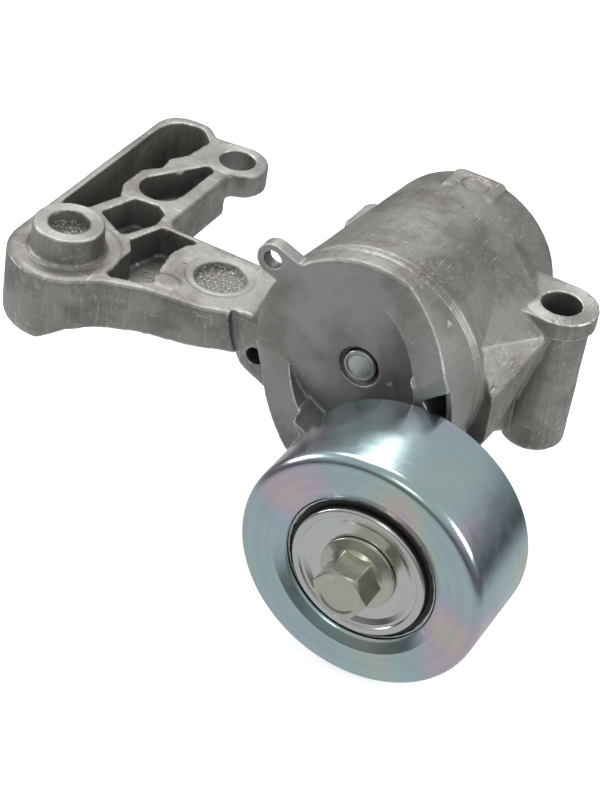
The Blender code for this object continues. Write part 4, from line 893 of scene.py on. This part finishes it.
class FinishHidden(bpy.types.Operator):
    """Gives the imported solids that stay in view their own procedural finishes"""

    bl_idname = "tensioner.hidden"
    bl_label = "Hidden Pieces"

    def execute(self, context):
        steel = turned_metal("Bearing Steel", (0.62, 0.62, 0.62), PULLEY_AXIS, 0.22, 2600.0)
        bronze = turned_metal("Bush Bronze", (0.55, 0.38, 0.20), PIVOT_AXIS, 0.40, 1800.0)
        spring = turned_metal("Spring Steel", (0.14, 0.14, 0.15), PIVOT_AXIS, 0.40, 900.0)
        yellow = (0.62, 0.60, 0.48)
        washer = turned_metal("Washer Zinc", yellow, PIVOT_AXIS, 0.32, 2200.0, plating=0.15)
        nylon = soft_material("Nylon", (0.06, 0.06, 0.065), PIVOT_AXIS, 0.55)
        rubber = soft_material("Dust Ring Rubber", (0.02, 0.02, 0.02), PIVOT_AXIS, 0.62)
        finishes = {
            "bearing_outer_ring": steel,
            "bearing_inner_ring": steel,
            "ball_cage": steel,
            "front_bush": bronze,
            "rear_bush": bronze,
            "front_thrust_washer": bronze,
            "rear_washer": washer,
            "torsion_spring": spring,
            "spring_guide": nylon,
            "friction_sleeve": nylon,
            "dust_ring": rubber,
        }
        for name, node in frame["nodes"].items():
            finish = steel if name.startswith("ball_") else finishes.get(name)
            if finish:
                node.data.materials.clear()
                node.data.materials.append(finish)
        return {"FINISHED"}


class BuildStage(bpy.types.Operator):
    """Lays the pale floor, and sets the lights and the camera"""

    bl_idname = "tensioner.stage"
    bl_label = "Stage"

    def execute(self, context):
        scene = context.scene
        scene.view_settings.view_transform = "Standard"
        low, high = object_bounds()
        middle = (Vector(low) + Vector(high)) / 2
        deselect()
        place = (middle.x, middle.y, low[2] - 0.0006)
        bpy.ops.mesh.primitive_plane_add(size=6, location=place)
        floor = context.active_object
        floor.name = "pale_floor"
        made, graph, shader = new_material("Pale Floor", 0.0, Roughness=0.9)
        cloud = graph.noise(graph.here(), 3.0, 2.0)
        paper = rgba(context.scene.tensioner_colours.floor)
        graph.feed(shader.inputs["Base Color"], graph.blend(cloud, paper, (0.95, 0.95, 0.95, 1)))
        shader.inputs["Emission Color"].default_value = (1, 1, 1, 1)
        shader.inputs["Emission Strength"].default_value = 0.60
        floor.data.materials.append(made)
        floor.visible_glossy = False
        floor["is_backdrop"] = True
        for name, offset, size, power in LIGHTS:
            self.light(name, Vector(offset), middle, size, power)
        self.studio(scene)
        data = bpy.data.cameras.new("Camera")
        data.lens = CAMERA_LENS
        data.sensor_width = CAMERA_SENSOR
        data.clip_end = 20.0
        camera = bpy.data.objects.new("Camera", data)
        scene.collection.objects.link(camera)
        rows = [list(row) for row in zip(*CAMERA_AXES, CAMERA_PLACE)]
        camera.matrix_world = Matrix(rows + [[0, 0, 0, 1]])
        scene.camera = camera
        return {"FINISHED"}

    def studio(self, scene):
        """A grey room for the metals to reflect: pale but for a dark band just under eye level."""
        world = bpy.data.worlds.new("Studio")
        world.use_nodes = True
        graph = Graph(world.node_tree)
        around = graph.node("ShaderNodeTexCoord").outputs["Generated"]
        upward = graph.node("ShaderNodeSeparateXYZ", {0: around}).outputs["Z"]
        height = graph.maths("MULTIPLY_ADD", upward, 0.5, 0.5)
        ramp = graph.node("ShaderNodeValToRGB", {"Fac": height})
        ramp.color_ramp.interpolation = "EASE"
        stops = ramp.color_ramp.elements
        stops[0].position, stops[0].color = 0.0, (0.70, 0.72, 0.74, 1)
        stops[1].position, stops[1].color = 1.0, (0.66, 0.67, 0.68, 1)
        for place, grey in ((0.26, 0.70), (0.40, 0.12), (0.54, 0.30), (0.72, 0.66)):
            stops.new(place).color = (grey, grey * 1.01, grey * 1.02, 1)
        room = world.node_tree.nodes["Background"]
        graph.feed(room.inputs["Color"], ramp.outputs["Color"])
        room.inputs["Strength"].default_value = 0.75
        scene.world = world

    def light(self, name, offset, middle, size, power):
        """A square soft light at an offset from the middle of the tensioner, aimed at it."""
        data = bpy.data.lights.new(name, "AREA")
        data.size = size
        data.energy = power
        lamp = bpy.data.objects.new(name, data)
        bpy.context.scene.collection.objects.link(lamp)
        lamp.location = middle + offset
        lamp.rotation_euler = offset.to_track_quat("Z", "Y").to_euler()


BUILDERS = (
    BuildStage,
    BuildHousing,
    BuildArm,
    BuildPulley,
    BuildSeals,
    BuildCovers,
    BuildBolt,
    BuildShaft,
    FinishHidden,
)


class TensionerPanel(bpy.types.Panel):
    """Lists the pieces, and the sizes and colours that they are built with"""

    bl_idname = "VIEW3D_PT_tensioner"
    bl_label = "Belt Tensioner"
    bl_space_type = "VIEW_3D"
    bl_region_type = "UI"
    bl_category = "Tensioner"

    def draw(self, context):
        for builder in BUILDERS:
            self.layout.operator(builder.bl_idname)
        for settings in (context.scene.tensioner_sizes, context.scene.tensioner_colours):
            column = self.layout.column()
            for name in settings.__annotations__:
                column.prop(settings, name)


CLASSES = (TensionerSizes, TensionerColours, *BUILDERS, TensionerPanel)


def register():
    for made in CLASSES:
        bpy.utils.register_class(made)
    bpy.types.Scene.tensioner_sizes = bpy.props.PointerProperty(type=TensionerSizes)
    bpy.types.Scene.tensioner_colours = bpy.props.PointerProperty(type=TensionerColours)


def unregister():
    del bpy.types.Scene.tensioner_colours
    del bpy.types.Scene.tensioner_sizes
    for made in reversed(CLASSES):
        bpy.utils.unregister_class(made)


def main():
    register()
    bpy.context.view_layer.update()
    for builder in BUILDERS:
        area, name = builder.bl_idname.split(".")
        getattr(getattr(bpy.ops, area), name)()


if __name__ == "__main__":
    main()
